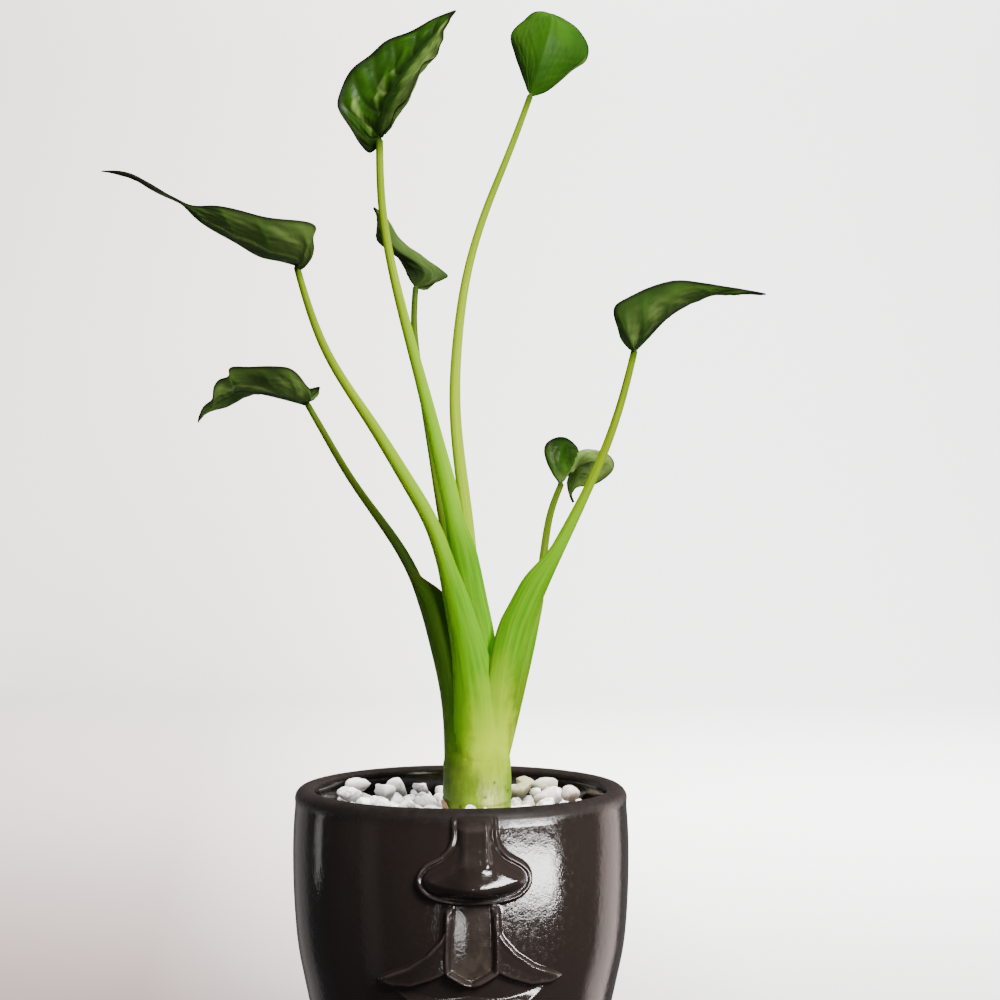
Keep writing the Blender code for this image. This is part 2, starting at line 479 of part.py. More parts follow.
# Blades, each drawn by three curves: the midrib from the stalk to the tip, and the left and the
# right margin from the notch round the lobe to near the tip. up is the way the upper face looks at
# the stalk and at the tip. lobe is the share of a margin that fans from the stalk, and sag how deep
# each half is cupped, as a share of its width.
BLADES = {
    "a": {
        "midrib": [(-29, -6, 350), (-27, -6, 359.5), (-20, -5, 372.5), (-2, 2, 396)],
        "left": [(-29.5, -5.5, 348.5), (-32, -4, 343.5), (-36, -2, 347), (-42.5, 1, 357.5),
                 (-44.5, 1.5, 361.5), (-43.5, 1.5, 366.5), (-38.5, 1.5, 375.5), (-33, 1.5, 379.5),
                 (-27.5, 1.5, 384.5), (-20, 1.5, 387.5), (-10.5, 1.5, 392.5)],
        "right": [(-28, -7, 348.5), (-24.5, -14, 352.5), (-20.5, -20, 358), (-17.5, -22, 360.5),
                  (-13.5, -21, 370.5), (-9, -17, 375), (-6.5, -11, 382), (-4.5, -1.5, 391.5)],
        "up": [(-0.6, -0.75, 0.3), (-0.7, -0.6, 0.4)], "lobe": 0.20, "sag": (0.20, 0.12)},
    "b": {
        "midrib": [(25, 22, 369.5), (27, 20, 375), (33, 24, 397), (33, 31, 401), (33, 43, 404)],
        "left": [(24, 22.5, 371.5), (18.5, 28, 388.5), (18, 30, 393.5), (23, 32, 399.5),
                 (26.5, 33, 402.5), (32.5, 39, 403.5)],
        "right": [(26, 22.5, 369), (29, 23.5, 370), (42.5, 29, 381), (46, 31, 384), (35, 37, 403)],
        "up": [(0, 1, -0.1), (0, 0.3, 1)], "lobe": 0.05, "sag": (0.12, 0.12)},
    "c": {
        "midrib": [(-56.5, -24, 302), (-62.5, -25, 303.5), (-68, -26, 304.5), (-75.5, -27, 308.5),
                   (-91.5, -28.5, 318.5), (-94.5, -29, 321.5), (-103.5, -30, 326),
                   (-111, -31.6, 330.5), (-122.5, -33.5, 332.5)],
        "left": [(-56, -25.5, 301), (-52, -32.5, 301), (-49, -39, 306), (-49, -41, 309),
                 (-48, -42.5, 311.5), (-57, -42.5, 314.5), (-65, -42, 315.5), (-85, -34.5, 320.5),
                 (-91.5, -31.5, 321), (-99, -30.2, 324.5), (-103.5, -31, 326.5),
                 (-111, -32.4, 331)],
        "right": [(-56.5, -22.5, 302.5), (-54, -15, 305), (-53.5, -8.5, 312.5), (-54, -7, 315.5),
                  (-70.5, -8, 319), (-82.5, -15, 321.5), (-88, -19.5, 321.5), (-96, -28, 323),
                  (-103.5, -29.4, 327), (-116.5, -32, 332.5)],
        "up": [(0.35, 0, 0.94), (0.3, 0, 0.95)], "lobe": 0.20, "sag": (0.18, 0.18)},
    "d": {
        "midrib": [(-56, 2, 255), (-70.5, 1.5, 258.5), (-83, 0, 258), (-86.5, -0.5, 255.5),
                   (-93, -2.5, 250.5), (-94, -3, 247.5)],
        "left": [(-55, 1, 255.5), (-53.5, -3, 259), (-54.5, -5.5, 260.5), (-58.5, -11.5, 265.5),
                 (-76, -12, 267), (-88, -6.5, 258.5), (-88.5, -5, 256), (-91, -4, 254)],
        "right": [(-55.5, 3.5, 256), (-51.5, 8, 261), (-55, 10.5, 260.5), (-60.5, 15, 265),
                  (-69.5, 17.5, 267.5), (-76, 14.5, 261.5), (-80.5, 10, 257), (-91, 1, 251.5),
                  (-92, -1.5, 250)],
        "up": [(0.1, -0.1, 1), (-0.5, 0, 0.85)], "lobe": 0.12, "sag": (0.18, 0.18)},
    "e": {
        "midrib": [(-17, 24, 299), (-14, 23, 303), (-23.5, 23.5, 312), (-29, 24.5, 320.5),
                   (-31, 25.5, 326), (-33, 26, 328.5)],
        "left": [(-17.5, 24.8, 300), (-22.5, 30, 308), (-27, 31.5, 313.5), (-32, 31, 317.5),
                 (-31.5, 28.5, 324)],
        "right": [(-15.5, 24.5, 298.5), (-14, 25.5, 298), (-9, 28.5, 301.5), (-5.5, 30, 303.5),
                  (-8, 31, 306), (-18.5, 31.2, 313.5), (-22.5, 31, 316.5), (-28.5, 28, 325)],
        "up": [(0.2, 0.9, 0.3), (0.2, 0.9, 0.3)], "lobe": 0.20, "sag": (0.16, 0.16)},
    "f": {
        "midrib": [(60.5, -22, 272.5), (65.5, -22, 277.5), (72, -22.5, 284), (79.5, -23, 288.5),
                   (85, -24, 291), (94, -26, 291.5), (105.5, -29, 291)],
        "left": [(60.5, -20.5, 273), (57.5, -12.5, 281.5), (58, -8, 287.5), (62, -6.5, 290),
                 (67, -6, 292.5), (97.5, -24.5, 292.5), (101, -27.3, 291.5)],
        "right": [(59.5, -23.5, 272), (55, -30, 276), (54, -33, 279), (53, -38.5, 286),
                  (56, -39.5, 288), (75, -38.5, 294.5), (82.5, -36, 294), (96.5, -30, 292.5)],
        "up": [(-0.7, 0, 0.7), (0, 0, 1)], "lobe": 0.22, "sag": (0.18, 0.18)},
    "g": {
        "midrib": [(36.5, 26, 226), (40.5, 29.5, 230.5), (43, 36.5, 233), (43, 44.5, 228.5),
                   (41, 47.5, 221.5), (42, 48, 219)],
        "left": [(36, 25.5, 225.5), (31.5, 27.5, 241.5), (36, 29.5, 243.5), (43, 36, 239.5),
                 (42.5, 44, 233.5), (39.5, 48, 227)],
        "right": [(37, 27, 226.5), (39, 31, 229.5), (42.5, 36.5, 237.5), (57.5, 49, 233),
                  (47.5, 50, 225.5), (45, 49.5, 225.5), (41, 48.5, 222.5)],
        "up": [(0.1, 0.9, -0.3), (0.2, 0.95, 0.1)], "lobe": 0.12, "sag": (0.14, 0.12)},
}
BLADE_ROWS = 17
BLADE_CELLS = 3


def blade_points(spec, rows, cells):
    """Grid of points from the left margin over the midrib to the right one, rows by 2 cells + 1.

    Each half is ruled from the midrib to its margin, and sags in an arch away from the upper face."""
    share = np.linspace(0.0, 1.0, rows)
    inner = np.clip((share - spec["lobe"]) / (1.0 - spec["lobe"]), 0.0, 1.0)
    middle, _ = spline_through(spec["midrib"], inner * chord_length(spec["midrib"]))
    up = np.array(spec["up"][0]) * (1.0 - inner[:, None]) + np.array(spec["up"][1]) * inner[:, None]
    cell = np.linspace(0.0, 1.0, cells + 1)[None, :, None]
    halves = []
    for margin, sag in zip((spec["left"], spec["right"]), spec["sag"]):
        path = margin + [spec["midrib"][-1]]
        edge, _ = spline_through(path, share * chord_length(path))
        width = edge - middle
        breadth = np.maximum(np.linalg.norm(width, axis=1, keepdims=True), 0.001)
        normal = unit(up - width * np.sum(up * width, axis=1, keepdims=True) / breadth ** 2)
        arch = (normal * breadth * sag)[:, None, :] * 4.0 * cell * (1.0 - cell)
        halves.append(middle[:, None, :] + width[:, None, :] * cell - arch)
    left, right = halves
    return np.concatenate([left[:, ::-1], right[:, 1:]], axis=1).reshape(-1, 3)


def blade_mesh(name, spec):
    points = blade_points(spec, BLADE_ROWS, BLADE_CELLS)
    shape = bmesh.new()
    verts = [shape.verts.new(spot) for spot in points]
    for corners in grid_faces(BLADE_ROWS, 2 * BLADE_CELLS + 1, False):
        shape.faces.new([verts[i] for i in corners])
    bmesh.ops.remove_doubles(shape, verts=shape.verts, dist=0.02)
    bmesh.ops.triangulate(shape, faces=shape.faces)
    bmesh.ops.scale(shape, vec=(MM, MM, MM), verts=shape.verts)
    mesh = bpy.data.meshes.new(name)
    shape.to_mesh(mesh)
    shape.free()
    return mesh


def make_blade(name, spec, thickness, collection, material):
    """Open sheet of triangles with a thickness on both sides of it."""
    blade = link_object(name, blade_mesh(name, spec), collection, material)
    wall = blade.modifiers.new("thickness", "SOLIDIFY")
    wall.thickness = thickness * MM
    wall.offset = 0.0
    mesh = evaluated_mesh(blade)
    blade.modifiers.clear()
    blade.data = mesh
    mesh.materials.clear()
    mesh.materials.append(material)
    return blade


def make_petiole(key, spec, earlier, blade_spec, collection, material):
    """The stalk stops short of its blade, and wraps the stem and the leaves inside it with a small gap."""
    petiole = link_object(f"petiole_{key}", petiole_mesh("petiole", spec), collection, material)
    blade = make_blade("cutter", blade_spec, BLADE_THICKNESS + 2.0 * FIT_GAP, collection, material)
    cutters = [blade]
    cutters.append(turned_solid("cutter", stem_profile(FIT_GAP), STEM_CENTRE, 20, collection, material))
    for other in earlier:
        grown = petiole_mesh("cutter", PETIOLES[other], FIT_GAP)
        cutters.append(link_object("cutter", grown, collection, material))
    for cutter in cutters:
        apply_boolean(petiole, cutter, "DIFFERENCE", "MANIFOLD")
        bpy.data.objects.remove(cutter)
    petiole.data.shade_smooth()
    petiole.data.set_sharp_from_angle(angle=SHARP_ANGLE)
    return petiole


def build_plant():
    for old in list(bpy.data.objects):
        bpy.data.objects.remove(old)
    plant = bpy.data.collections.new("potted_alocasia")
    bpy.context.scene.collection.children.link(plant)
    glaze = make_material("dark_glaze", (0.022, 0.016, 0.014), 0.16)
    earth = make_material("potting_soil", (0.045, 0.030, 0.020), 0.95)
    stone = make_material("white_gravel", (0.74, 0.72, 0.67), 0.65)
    flesh = make_material("stem_green", (0.42, 0.62, 0.10), 0.38)
    stalk = make_material("petiole_green", (0.34, 0.58, 0.06), 0.35)
    leaf = make_material("leaf_green", (0.055, 0.17, 0.02), 0.28)
    make_pot(plant, glaze)
    make_soil(plant, earth)
    make_gravel(plant, stone)
    turned_solid("stem", stem_profile(), STEM_CENTRE, 20, plant, flesh)
    earlier = []
    for key, spec in PETIOLES.items():
        make_petiole(key, spec, earlier, BLADES[key], plant, stalk)
        earlier.append(key)
    for key, spec in BLADES.items():
        make_blade(f"blade_{key}", spec, BLADE_THICKNESS, plant, leaf)


build_plant()
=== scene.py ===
# Small alocasia with seven cupped leaves, in a dark glazed pot with a nose and lips in relief.
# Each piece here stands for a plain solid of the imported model. Lengths are in millimetres.
import math

import bmesh
import bpy
import numpy as np
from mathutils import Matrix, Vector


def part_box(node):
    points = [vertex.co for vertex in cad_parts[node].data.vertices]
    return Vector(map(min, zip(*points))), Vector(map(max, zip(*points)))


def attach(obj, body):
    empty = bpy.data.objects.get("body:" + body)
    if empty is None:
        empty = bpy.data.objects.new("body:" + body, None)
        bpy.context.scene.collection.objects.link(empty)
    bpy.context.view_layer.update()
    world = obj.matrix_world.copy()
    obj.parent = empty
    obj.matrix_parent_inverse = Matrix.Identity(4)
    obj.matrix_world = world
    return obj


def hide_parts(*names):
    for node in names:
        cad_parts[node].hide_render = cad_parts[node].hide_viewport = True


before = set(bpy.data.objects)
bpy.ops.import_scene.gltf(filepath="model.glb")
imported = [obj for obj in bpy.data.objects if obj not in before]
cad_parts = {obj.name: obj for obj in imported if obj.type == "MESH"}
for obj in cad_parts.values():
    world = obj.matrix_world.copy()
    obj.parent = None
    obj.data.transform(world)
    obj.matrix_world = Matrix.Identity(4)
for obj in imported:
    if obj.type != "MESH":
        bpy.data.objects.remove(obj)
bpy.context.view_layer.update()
mm = 0.001
print("frame loaded")

# Sizes that several pieces share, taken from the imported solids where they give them
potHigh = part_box("pot")[1]
potSize = {
    "height": potHigh[2] / mm,
    "radius": potHigh[1] / mm + 0.2,
    "rimRadius": 55.6, "rimHalfWidth": 3.9,
    "footRadius": 33.0, "footFlare": 2.6,
    "floor": 8.0,
    # outer wall: height and share of the radius
    "wall": [(3.0, 0.617), (10.0, 0.692), (20.0, 0.775), (30.0, 0.842), (42.0, 0.900), (51.0, 0.933),
             (59.7, 0.963), (72.8, 0.988), (91.0, 1.0), (104.0, 0.997), (112.0, 0.988)],
    # inner wall: height and radius
    "inside": [(112.0, 51.7), (103.0, 52.2), (88.0, 52.6), (60.0, 50.6), (35.0, 45.2), (18.0, 37.0),
               (8.0, 29.0)],
}
stemSize = {
    "centre": (5.8, -8.0), "radius": 12.2, "bottom": 88.0, "top": 138.0,
    # side of the trunk: height and share of the radius
    "side": [(90.0, 0.49), (94.0, 0.79), (101.0, 0.93), (109.0, 1.0), (116.0, 1.01), (122.0, 1.0),
             (127.0, 0.99), (130.0, 0.955), (132.5, 0.85), (134.5, 0.60), (136.8, 0.30)],
}


# Curves and grids

def readAt(pairs, place):  # value at a place, between the pairs of place and value
    return np.interp(place, [at for at, _ in pairs], [value for _, value in pairs])


def smoothStep(x):  # 3x^2 - 2x^3 between 0 and 1
    x = np.clip(x, 0.0, 1.0)
    return x * x * (3.0 - 2.0 * x)


def bell(x):  # exp(-x^2), a soft bump one unit wide
    return np.exp(-np.square(x))


def unit(rows):
    return rows / np.maximum(np.linalg.norm(rows, axis=-1, keepdims=True), 1e-9)


def chordKnots(points):
    # distance of each point from the first, along the chords between them
    steps = np.linalg.norm(np.diff(np.asarray(points, float), axis=0), axis=1)
    return np.concatenate([[0.0], np.cumsum(steps)])


def chordLength(points):
    return float(chordKnots(points)[-1])


def splineThrough(points, at, knots=None):
    # natural cubic spline through the points and its slope, read at distances along the chords
    points = np.asarray(points, float)
    if knots is None:
        knots = chordKnots(points)
    count = len(knots)
    step = np.diff(knots)
    matrix = np.eye(count)
    right = np.zeros_like(points)
    for i in range(1, count - 1):
        matrix[i, i - 1:i + 2] = (step[i - 1], 2.0 * (step[i - 1] + step[i]), step[i])
        right[i] = 6.0 * ((points[i + 1] - points[i]) / step[i] - (points[i] - points[i - 1]) / step[i - 1])
    bend = np.linalg.solve(matrix, right)
    at = np.clip(at, knots[0], knots[-1])
    k = np.clip(np.searchsorted(knots, at, side="right") - 1, 0, count - 2)
    h = step[k][:, None]
    u = (knots[k + 1] - at)[:, None]
    v = (at - knots[k])[:, None]
    place = (bend[k] * u ** 3 + bend[k + 1] * v ** 3) / (6.0 * h)
    place += (points[k] / h - bend[k] * h / 6.0) * u + (points[k + 1] / h - bend[k + 1] * h / 6.0) * v
    slope = (bend[k + 1] * v ** 2 - bend[k] * u ** 2) / (2.0 * h)
    slope += (points[k + 1] - points[k]) / h - (bend[k + 1] - bend[k]) * h / 6.0
    return place, slope


def smoothNoise(seed, *places):
    # sum of sines in random directions, about -1 to 1, one wave per unit of place and coarser
    rng = np.random.default_rng(seed)
    total = 0.0
    for _ in range(7):
        way = rng.normal(0.0, 1.0, len(places))
        way *= rng.uniform(2.2, 6.3) / np.linalg.norm(way)
        total = total + np.sin(sum(w * p for w, p in zip(way, places)) + rng.uniform(0.0, 6.3))
    return total / 4.0


def gridQuads(rows, columns, closed=False):
    # corner numbers of a grid's quads, wrapped round when it is closed
    across = np.arange(columns if closed else columns - 1)
    low = np.arange(rows - 1)[:, None] * columns
    after = (across + 1) % columns
    quads = np.stack([low + across, low + after, low + columns + after, low + columns + across], axis=-1)
    return quads.reshape(-1, 4)


def fan(ring, centre, flip=False):
    # triangles from a ring of corner numbers to one corner
    after = np.roll(ring, -1)
    pair = (after, ring) if flip else (ring, after)
    return np.stack([*pair, np.full(len(ring), centre)], axis=-1)


def aroundAxis(out, turn, tall, centre=(0.0, 0.0)):
    # points a distance out from an upright axis; a turn of 0 is the front, -Y
    return np.stack([centre[0] + out * np.sin(turn), centre[1] - out * np.cos(turn),
                     np.broadcast_to(tall, out.shape)], axis=-1)


def cappedTube(rings, low, high, masks):
    # rings of points closed with one more corner at each end, where a mask takes its ring's mean
    rows, columns = rings.shape[:2]
    count = rows * columns
    faces = [gridQuads(rows, columns, True), fan(np.arange(columns), count, True),
             fan(np.arange(count - columns, count), count + 1)]
    masks = {name: np.concatenate([values.ravel(), [values[0].mean(), values[-1].mean()]])
             for name, values in masks.items()}
    return np.concatenate([rings.reshape(-1, 3), [low, high]]), faces, masks


def signedVolume(points, faces):
    # sum of the pyramids from the origin to each face, split in a fan from its first corner
    first = points[faces[:, 0]]
    total = 0.0
    for i in range(1, faces.shape[1] - 1):
        total += np.sum(first * np.cross(points[faces[:, i]], points[faces[:, i + 1]])) / 6.0
    return total


def makeMesh(name, points, faceSets, uv=None, masks=None, weld=0.0, sheet=False):
    # one object from whole arrays: points in millimetres, faces as arrays of corner numbers,
    # uv and masks with one row for each point; a closed shape that is inside out is turned round,
    # and corners closer together than weld are joined
    points = np.asarray(points, float)
    if not sheet and sum(signedVolume(points, faces) for faces in faceSets) < 0.0:
        faceSets = [faces[:, ::-1] for faces in faceSets]
    mesh = bpy.data.meshes.new(name)
    corners = np.concatenate([faces.ravel() for faces in faceSets]).astype(np.int32)
    counts = np.concatenate([np.full(len(faces), faces.shape[1]) for faces in faceSets])
    mesh.vertices.add(len(points))
    mesh.vertices.foreach_set("co", (points * mm).astype(np.float32).ravel())
    mesh.loops.add(len(corners))
    mesh.loops.foreach_set("vertex_index", corners)
    mesh.polygons.add(len(counts))
    mesh.polygons.foreach_set("loop_start", (np.cumsum(counts) - counts).astype(np.int32))
    mesh.update(calc_edges=True)
    for label, values in (masks or {}).items():
        layer = mesh.attributes.new(label, "FLOAT", "POINT")
        layer.data.foreach_set("value", np.asarray(values, np.float32).ravel())
    if uv is not None:
        layer = mesh.uv_layers.new(name="UVMap")
        layer.data.foreach_set("uv", np.asarray(uv, np.float32)[corners].ravel())
    if weld:
        shape = bmesh.new()
        shape.from_mesh(mesh)
        bmesh.ops.remove_doubles(shape, verts=shape.verts, dist=weld * mm)
        shape.to_mesh(mesh)
        shape.free()
    mesh.shade_smooth()
    piece = bpy.data.objects.new(name, mesh)
    bpy.context.scene.collection.objects.link(piece)
    return piece


def place(piece, material, slot, *nodes):
    # finish a piece: its material, its body, and the solids it stands for
    piece.data.materials.append(material)
    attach(piece, "root")
    if nodes:
        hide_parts(*nodes)


# Materials: a small kit for wiring nodes

class Wiring:
    def __init__(self, name):
        self.material = bpy.data.materials.new(name)
        self.material.use_nodes = True
        self.tree = self.material.node_tree
        self.shader = self.tree.nodes["Principled BSDF"]
        self.coords = self.add("ShaderNodeTexCoord").outputs["Object"]

    def add(self, kind, inputs=None, **settings):
        node = self.tree.nodes.new(kind)
        for key, value in settings.items():
            setattr(node, key, value)
        for socket, value in (inputs or {}).items():
            self.feed(node.inputs[socket], value)
        return node

    def feed(self, socket, value):
        # a number or colour is set, an output is linked
        if isinstance(value, bpy.types.NodeSocket):
            self.tree.links.new(value, socket)
        else:
            socket.default_value = value

    def mask(self, name):
        return self.add("ShaderNodeAttribute", attribute_name=name).outputs["Fac"]

    def noise(self, scale, detail=3.0, rough=0.5, coords=None, stretch=None):
        # scale in waves per metre on object coordinates, or per unit of the given ones
        source = coords or self.coords
        if stretch:
            source = self.add("ShaderNodeMapping", {"Scale": stretch, "Vector": source}).outputs["Vector"]
        inputs = {"Scale": scale, "Detail": detail, "Roughness": rough, "Vector": source}
        return self.add("ShaderNodeTexNoise", inputs).outputs["Fac"]

    def cells(self, scale):
        # distance from the middle of the nearest cell
        return self.add("ShaderNodeTexVoronoi", {"Scale": scale, "Vector": self.coords}).outputs["Distance"]

    def uv(self):
        return self.add("ShaderNodeUVMap", uv_map="UVMap").outputs["UV"]

    def span(self, value, low, high, to=(0.0, 1.0)):
        # stretch a value from low..high to the span given, clamped
        inputs = {"From Min": low, "From Max": high, "To Min": to[0], "To Max": to[1], "Value": value}
        return self.add("ShaderNodeMapRange", inputs).outputs["Result"]

    def maths(self, operation, a, b=0.0):
        return self.add("ShaderNodeMath", {0: a, 1: b}, operation=operation).outputs[0]

    def times(self, a, b):
        return self.maths("MULTIPLY", a, b)

    def plus(self, a, b):
        return self.maths("ADD", a, b)

    def mix(self, share, a, b):
        # colour a to colour b by a share from 0 to 1; 6 and 7 are the node's two colour sockets
        a, b = [(*value, 1.0) if isinstance(value, tuple) else value for value in (a, b)]
        return self.add("ShaderNodeMix", {0: share, 6: a, 7: b}, data_type="RGBA").outputs[2]

    def bump(self, value, depth, strength):
        # depth in millimetres for a value from 0 to 1
        node = self.add("ShaderNodeBump", {"Strength": strength, "Distance": depth * mm, "Height": value})
        self.feed(self.shader.inputs["Normal"], node.outputs["Normal"])

    def sides(self):
        # the three object coordinates in millimetres
        node = self.add("ShaderNodeSeparateXYZ", {0: self.coords})
        return [self.times(out, 1.0 / mm) for out in node.outputs]

    def band(self, value, middle, reach):
        # 1 at the middle, falling to 0 a reach away on both sides
        off = self.maths("ABSOLUTE", self.maths("SUBTRACT", value, middle))
        return self.span(off, reach, 0.0)

    def set(self, colour, rough, level):
        # base colour, roughness and specular level of the shader
        for label, value in (("Base Color", colour), ("Roughness", rough), ("Specular IOR Level", level)):
            self.feed(self.shader.inputs[label], value)


# Pot: a turned wall with the face raised from it by closed outlines on the unrolled wall

pot = {
    # columns in front and behind, rows of the wall, and where the face starts and ends round it
    "columns": (210, 66), "rows": 210, "lowest": 42.0, "halfArc": 38.0, "azimuth": 4.5,
    # how far the wall stays back from its size, and how far it wanders
    "skin": 0.2, "uneven": 0.16,
    # the matt rim: heights and radii between which it sets in; the painted shade inside: radii and heights;
    # and the heights between which the groove goes from beige to brown, partly a painted reflection
    "mattTall": (112.4, 116.0), "mattRadius": (51.9, 53.4), "darkRadius": (53.0, 51.8),
    "darkTall": (92.0, 96.0), "bandTall": (60.0, 84.0),
    # how far round a spot is averaged, and how far it then stands out where the glaze is thinnest and is
    # painted lighter, partly as a painted highlight
    "crestSpread": 10, "crestTall": 0.35,
    "glazeDark": (0.020, 0.0145, 0.0125), "glazeBrown": (0.040, 0.024, 0.020),
    "rimBrown": (0.017, 0.0125, 0.011), "inside": (0.006, 0.0045, 0.004),
    "bandBrown": (0.060, 0.045, 0.040), "bandBeige": (0.10, 0.078, 0.060),
    "edgeBrown": (0.075, 0.056, 0.050),
}

faceForms = {
    "noseShift": 0.9, "outlinePoints": 160,
    # how far each form stands out from the wall
    "stands": {"border": 2.1, "wings": 2.6, "tip": 3.6, "bridge": 1.9, "lip": 1.9, "ridge": 2.9,
               "lowerLip": 3.4},
    # half outlines, mirrored about the middle of the face: distance across and height
    "nose": [(8.1, 122.0), (8.2, 112.0), (8.7, 107.5), (11.2, 104.0), (15.6, 101.4), (18.6, 98.6),
             (19.7, 95.4), (18.7, 91.8), (15.8, 89.0), (11.2, 87.3), (5.0, 86.5)],
    "philtrum": [(6.3, 88.0), (6.9, 84.0), (7.2, 76.0), (7.4, 69.0), (7.3, 64.6), (0.0, 60.2)],
    "lip": [(7.0, 86.5), (8.4, 80.0), (10.9, 75.3), (15.4, 70.4), (22.0, 66.0), (29.0, 63.2),
            (34.6, 60.8), (28.0, 58.9), (20.6, 58.9), (13.4, 61.4), (8.2, 63.8), (0.0, 59.0)],
    "lowerLip": [(0.0, 56.6), (9.0, 55.6), (19.0, 57.2), (29.0, 59.4), (25.0, 52.5), (17.0, 47.6),
                 (8.0, 45.2), (0.0, 44.6)],
}


def closedOutline(form, shift=0.0, smooth=True):
    # a form's half and its mirror image as one closed line of evenly spaced points
    half = np.asarray(faceForms[form], float)
    other = half[::-1] * (-1.0, 1.0)
    if abs(half[-1][0]) < 1e-6:
        other = other[1:]
    if abs(half[0][0]) < 1e-6:
        other = other[:-1]
    line = np.concatenate([half, other, half[:1]])
    knots = chordKnots(line)
    share = np.linspace(0.0, 1.0, faceForms["outlinePoints"], endpoint=False) * knots[-1]
    if smooth:
        line, _ = splineThrough(line, share, knots)
    else:
        line = np.stack([np.interp(share, knots, line[:, i]) for i in range(2)], axis=1)
    return line + (shift, 0.0)


def depthInside(spots, outline):
    # distance from each spot to a closed outline, positive inside it
    start, end = outline, np.roll(outline, -1, axis=0)
    edge = end - start
    out = np.empty(len(spots))
    for part in np.array_split(np.arange(len(spots)), 1 + len(spots) // 20000):
        off = spots[part, None] - start
        along = np.sum(off * edge, axis=2) / np.maximum(np.sum(edge * edge, axis=1), 1e-9)
        along = np.clip(along, 0.0, 1.0)
        gap = np.linalg.norm(off - along[..., None] * edge, axis=2).min(axis=1)
        level = (start[:, 1] > spots[part, None, 1]) != (end[:, 1] > spots[part, None, 1])
        rise = np.where(np.abs(edge[:, 1]) < 1e-9, 1e-9, edge[:, 1])
        cross = start[:, 0] + (spots[part, None, 1] - start[:, 1]) / rise * edge[:, 0]
        inside = (level & (spots[part, None, 0] < cross)).sum(axis=1) % 2 == 1
        out[part] = np.where(inside, gap, -gap)
    return out


def faceHeight(across, height):
    # how far the wall stands out: a stepped border round each form and a rounded body inside it;
    # the second result is 1 on the flat groove under the nose, painted lighter for its thin glaze and as a
    # painted reflection
    spots = np.stack([across, height], axis=1)
    stands = faceForms["stands"]
    middle = across - faceForms["noseShift"]
    side = np.abs(middle)
    nose = depthInside(spots, closedOutline("nose", faceForms["noseShift"]))
    groove = depthInside(spots, closedOutline("philtrum", smooth=False))
    lip = depthInside(spots, closedOutline("lip", smooth=False))
    under = depthInside(spots, closedOutline("lowerLip"))
    fade = smoothStep((117.0 - height) / 5.0)
    # nose: a rounded border, a narrow valley inside it, then the bridge, the wings and the tip
    border = stands["border"] * smoothStep(nose / 1.2) - 0.7 * bell((nose - 2.4) / 0.6)
    wings = stands["wings"] * smoothStep((nose - 2.2) / 5.0) * smoothStep((107.0 - height) / 7.0)
    tip = stands["tip"] * bell(middle / 6.6) * bell((height - 93.6) / 7.4) * smoothStep((nose - 2.0) / 3.0)
    bridge = stands["bridge"] * smoothStep((6.0 - side) / 3.4) * smoothStep((height - 96.0) / 8.0)
    bridge = bridge + 0.7 * bell((middle - 3.6) / 0.9) * smoothStep((height - 98.0) / 5.0)
    nose = (border + wings + tip + bridge) * fade * (nose > 0.0)
    # upper lip: a raised line along its edge, then a shallow slope inwards
    line = 0.1 + 0.4 * smoothStep((height - 66.0) / 4.0)
    raised = stands["lip"] * smoothStep((lip + 0.2) / 1.0) + line * bell((lip - 0.9) / 0.7)
    raised = raised - 0.25 * smoothStep((lip - 1.5) / 5.0)
    raised = raised * (lip > -0.2) * smoothStep((36.0 - np.abs(across)) / 7.0)
    # philtrum: a flat band cut back to the wall, with a ridge down each side
    cut = smoothStep((groove + 0.3) / 1.0)
    flank = np.where(groove > -0.9, 0.8, 1.2)
    ridge = stands["ridge"] * bell((groove + 0.9) / flank) * smoothStep((87.0 - height) / 3.0)
    ridge = ridge * smoothStep((height - 58.0) / 3.0) * smoothStep((2.0 - nose) / 2.0)
    floor = 0.25 * smoothStep((groove - 1.0) / 6.0) * (nose <= 0)
    # lower lip: a soft swell that is lower towards its corners
    lower = smoothStep(under / 6.0) * (0.35 + 0.65 * smoothStep((27.0 - np.abs(across)) / 14.0))
    total = nose + np.maximum(raised * (1.0 - cut), ridge) + floor + stands["lowerLip"] * lower
    return total, smoothStep((groove - 0.2) / 0.8) * smoothStep(86.6 - height)


def potWall():
    # half section from the middle of the foot, up the wall, over the round rim and down to the floor
    low = [z for z, _ in potSize["wall"] if z < pot["lowest"]]
    heights = np.concatenate([low, np.linspace(pot["lowest"], potSize["wall"][-1][0], pot["rows"])])
    knots = np.array([z for z, _ in potSize["wall"]])
    share, _ = splineThrough([(s,) for _, s in potSize["wall"]], heights, knots)
    outer = np.stack([potSize["radius"] * share[:, 0], heights], axis=1)
    foot = [(10.0, 0.9), (22.0, 0.9), (27.0, 0.7), (29.0, 0.0), (31.0, 0.0), (potSize["footRadius"], 0.0),
            (potSize["footRadius"] + potSize["footFlare"] * 0.7, 0.5)]
    angle = np.radians(np.linspace(4.0, 176.0, 18))
    rim = np.stack([potSize["rimRadius"] + potSize["rimHalfWidth"] * np.cos(angle),
                    potSize["height"] - potSize["rimHalfWidth"] * (1.0 - np.sin(angle))], axis=1)
    inside = np.array([(r, z) for z, r in potSize["inside"]])
    inner, _ = splineThrough(inside, np.linspace(0.0, 1.0, 26) * chordLength(inside))
    floor = [(20.0, potSize["floor"]), (10.0, potSize["floor"])]
    return np.concatenate([foot, outer, rim, inner, floor])


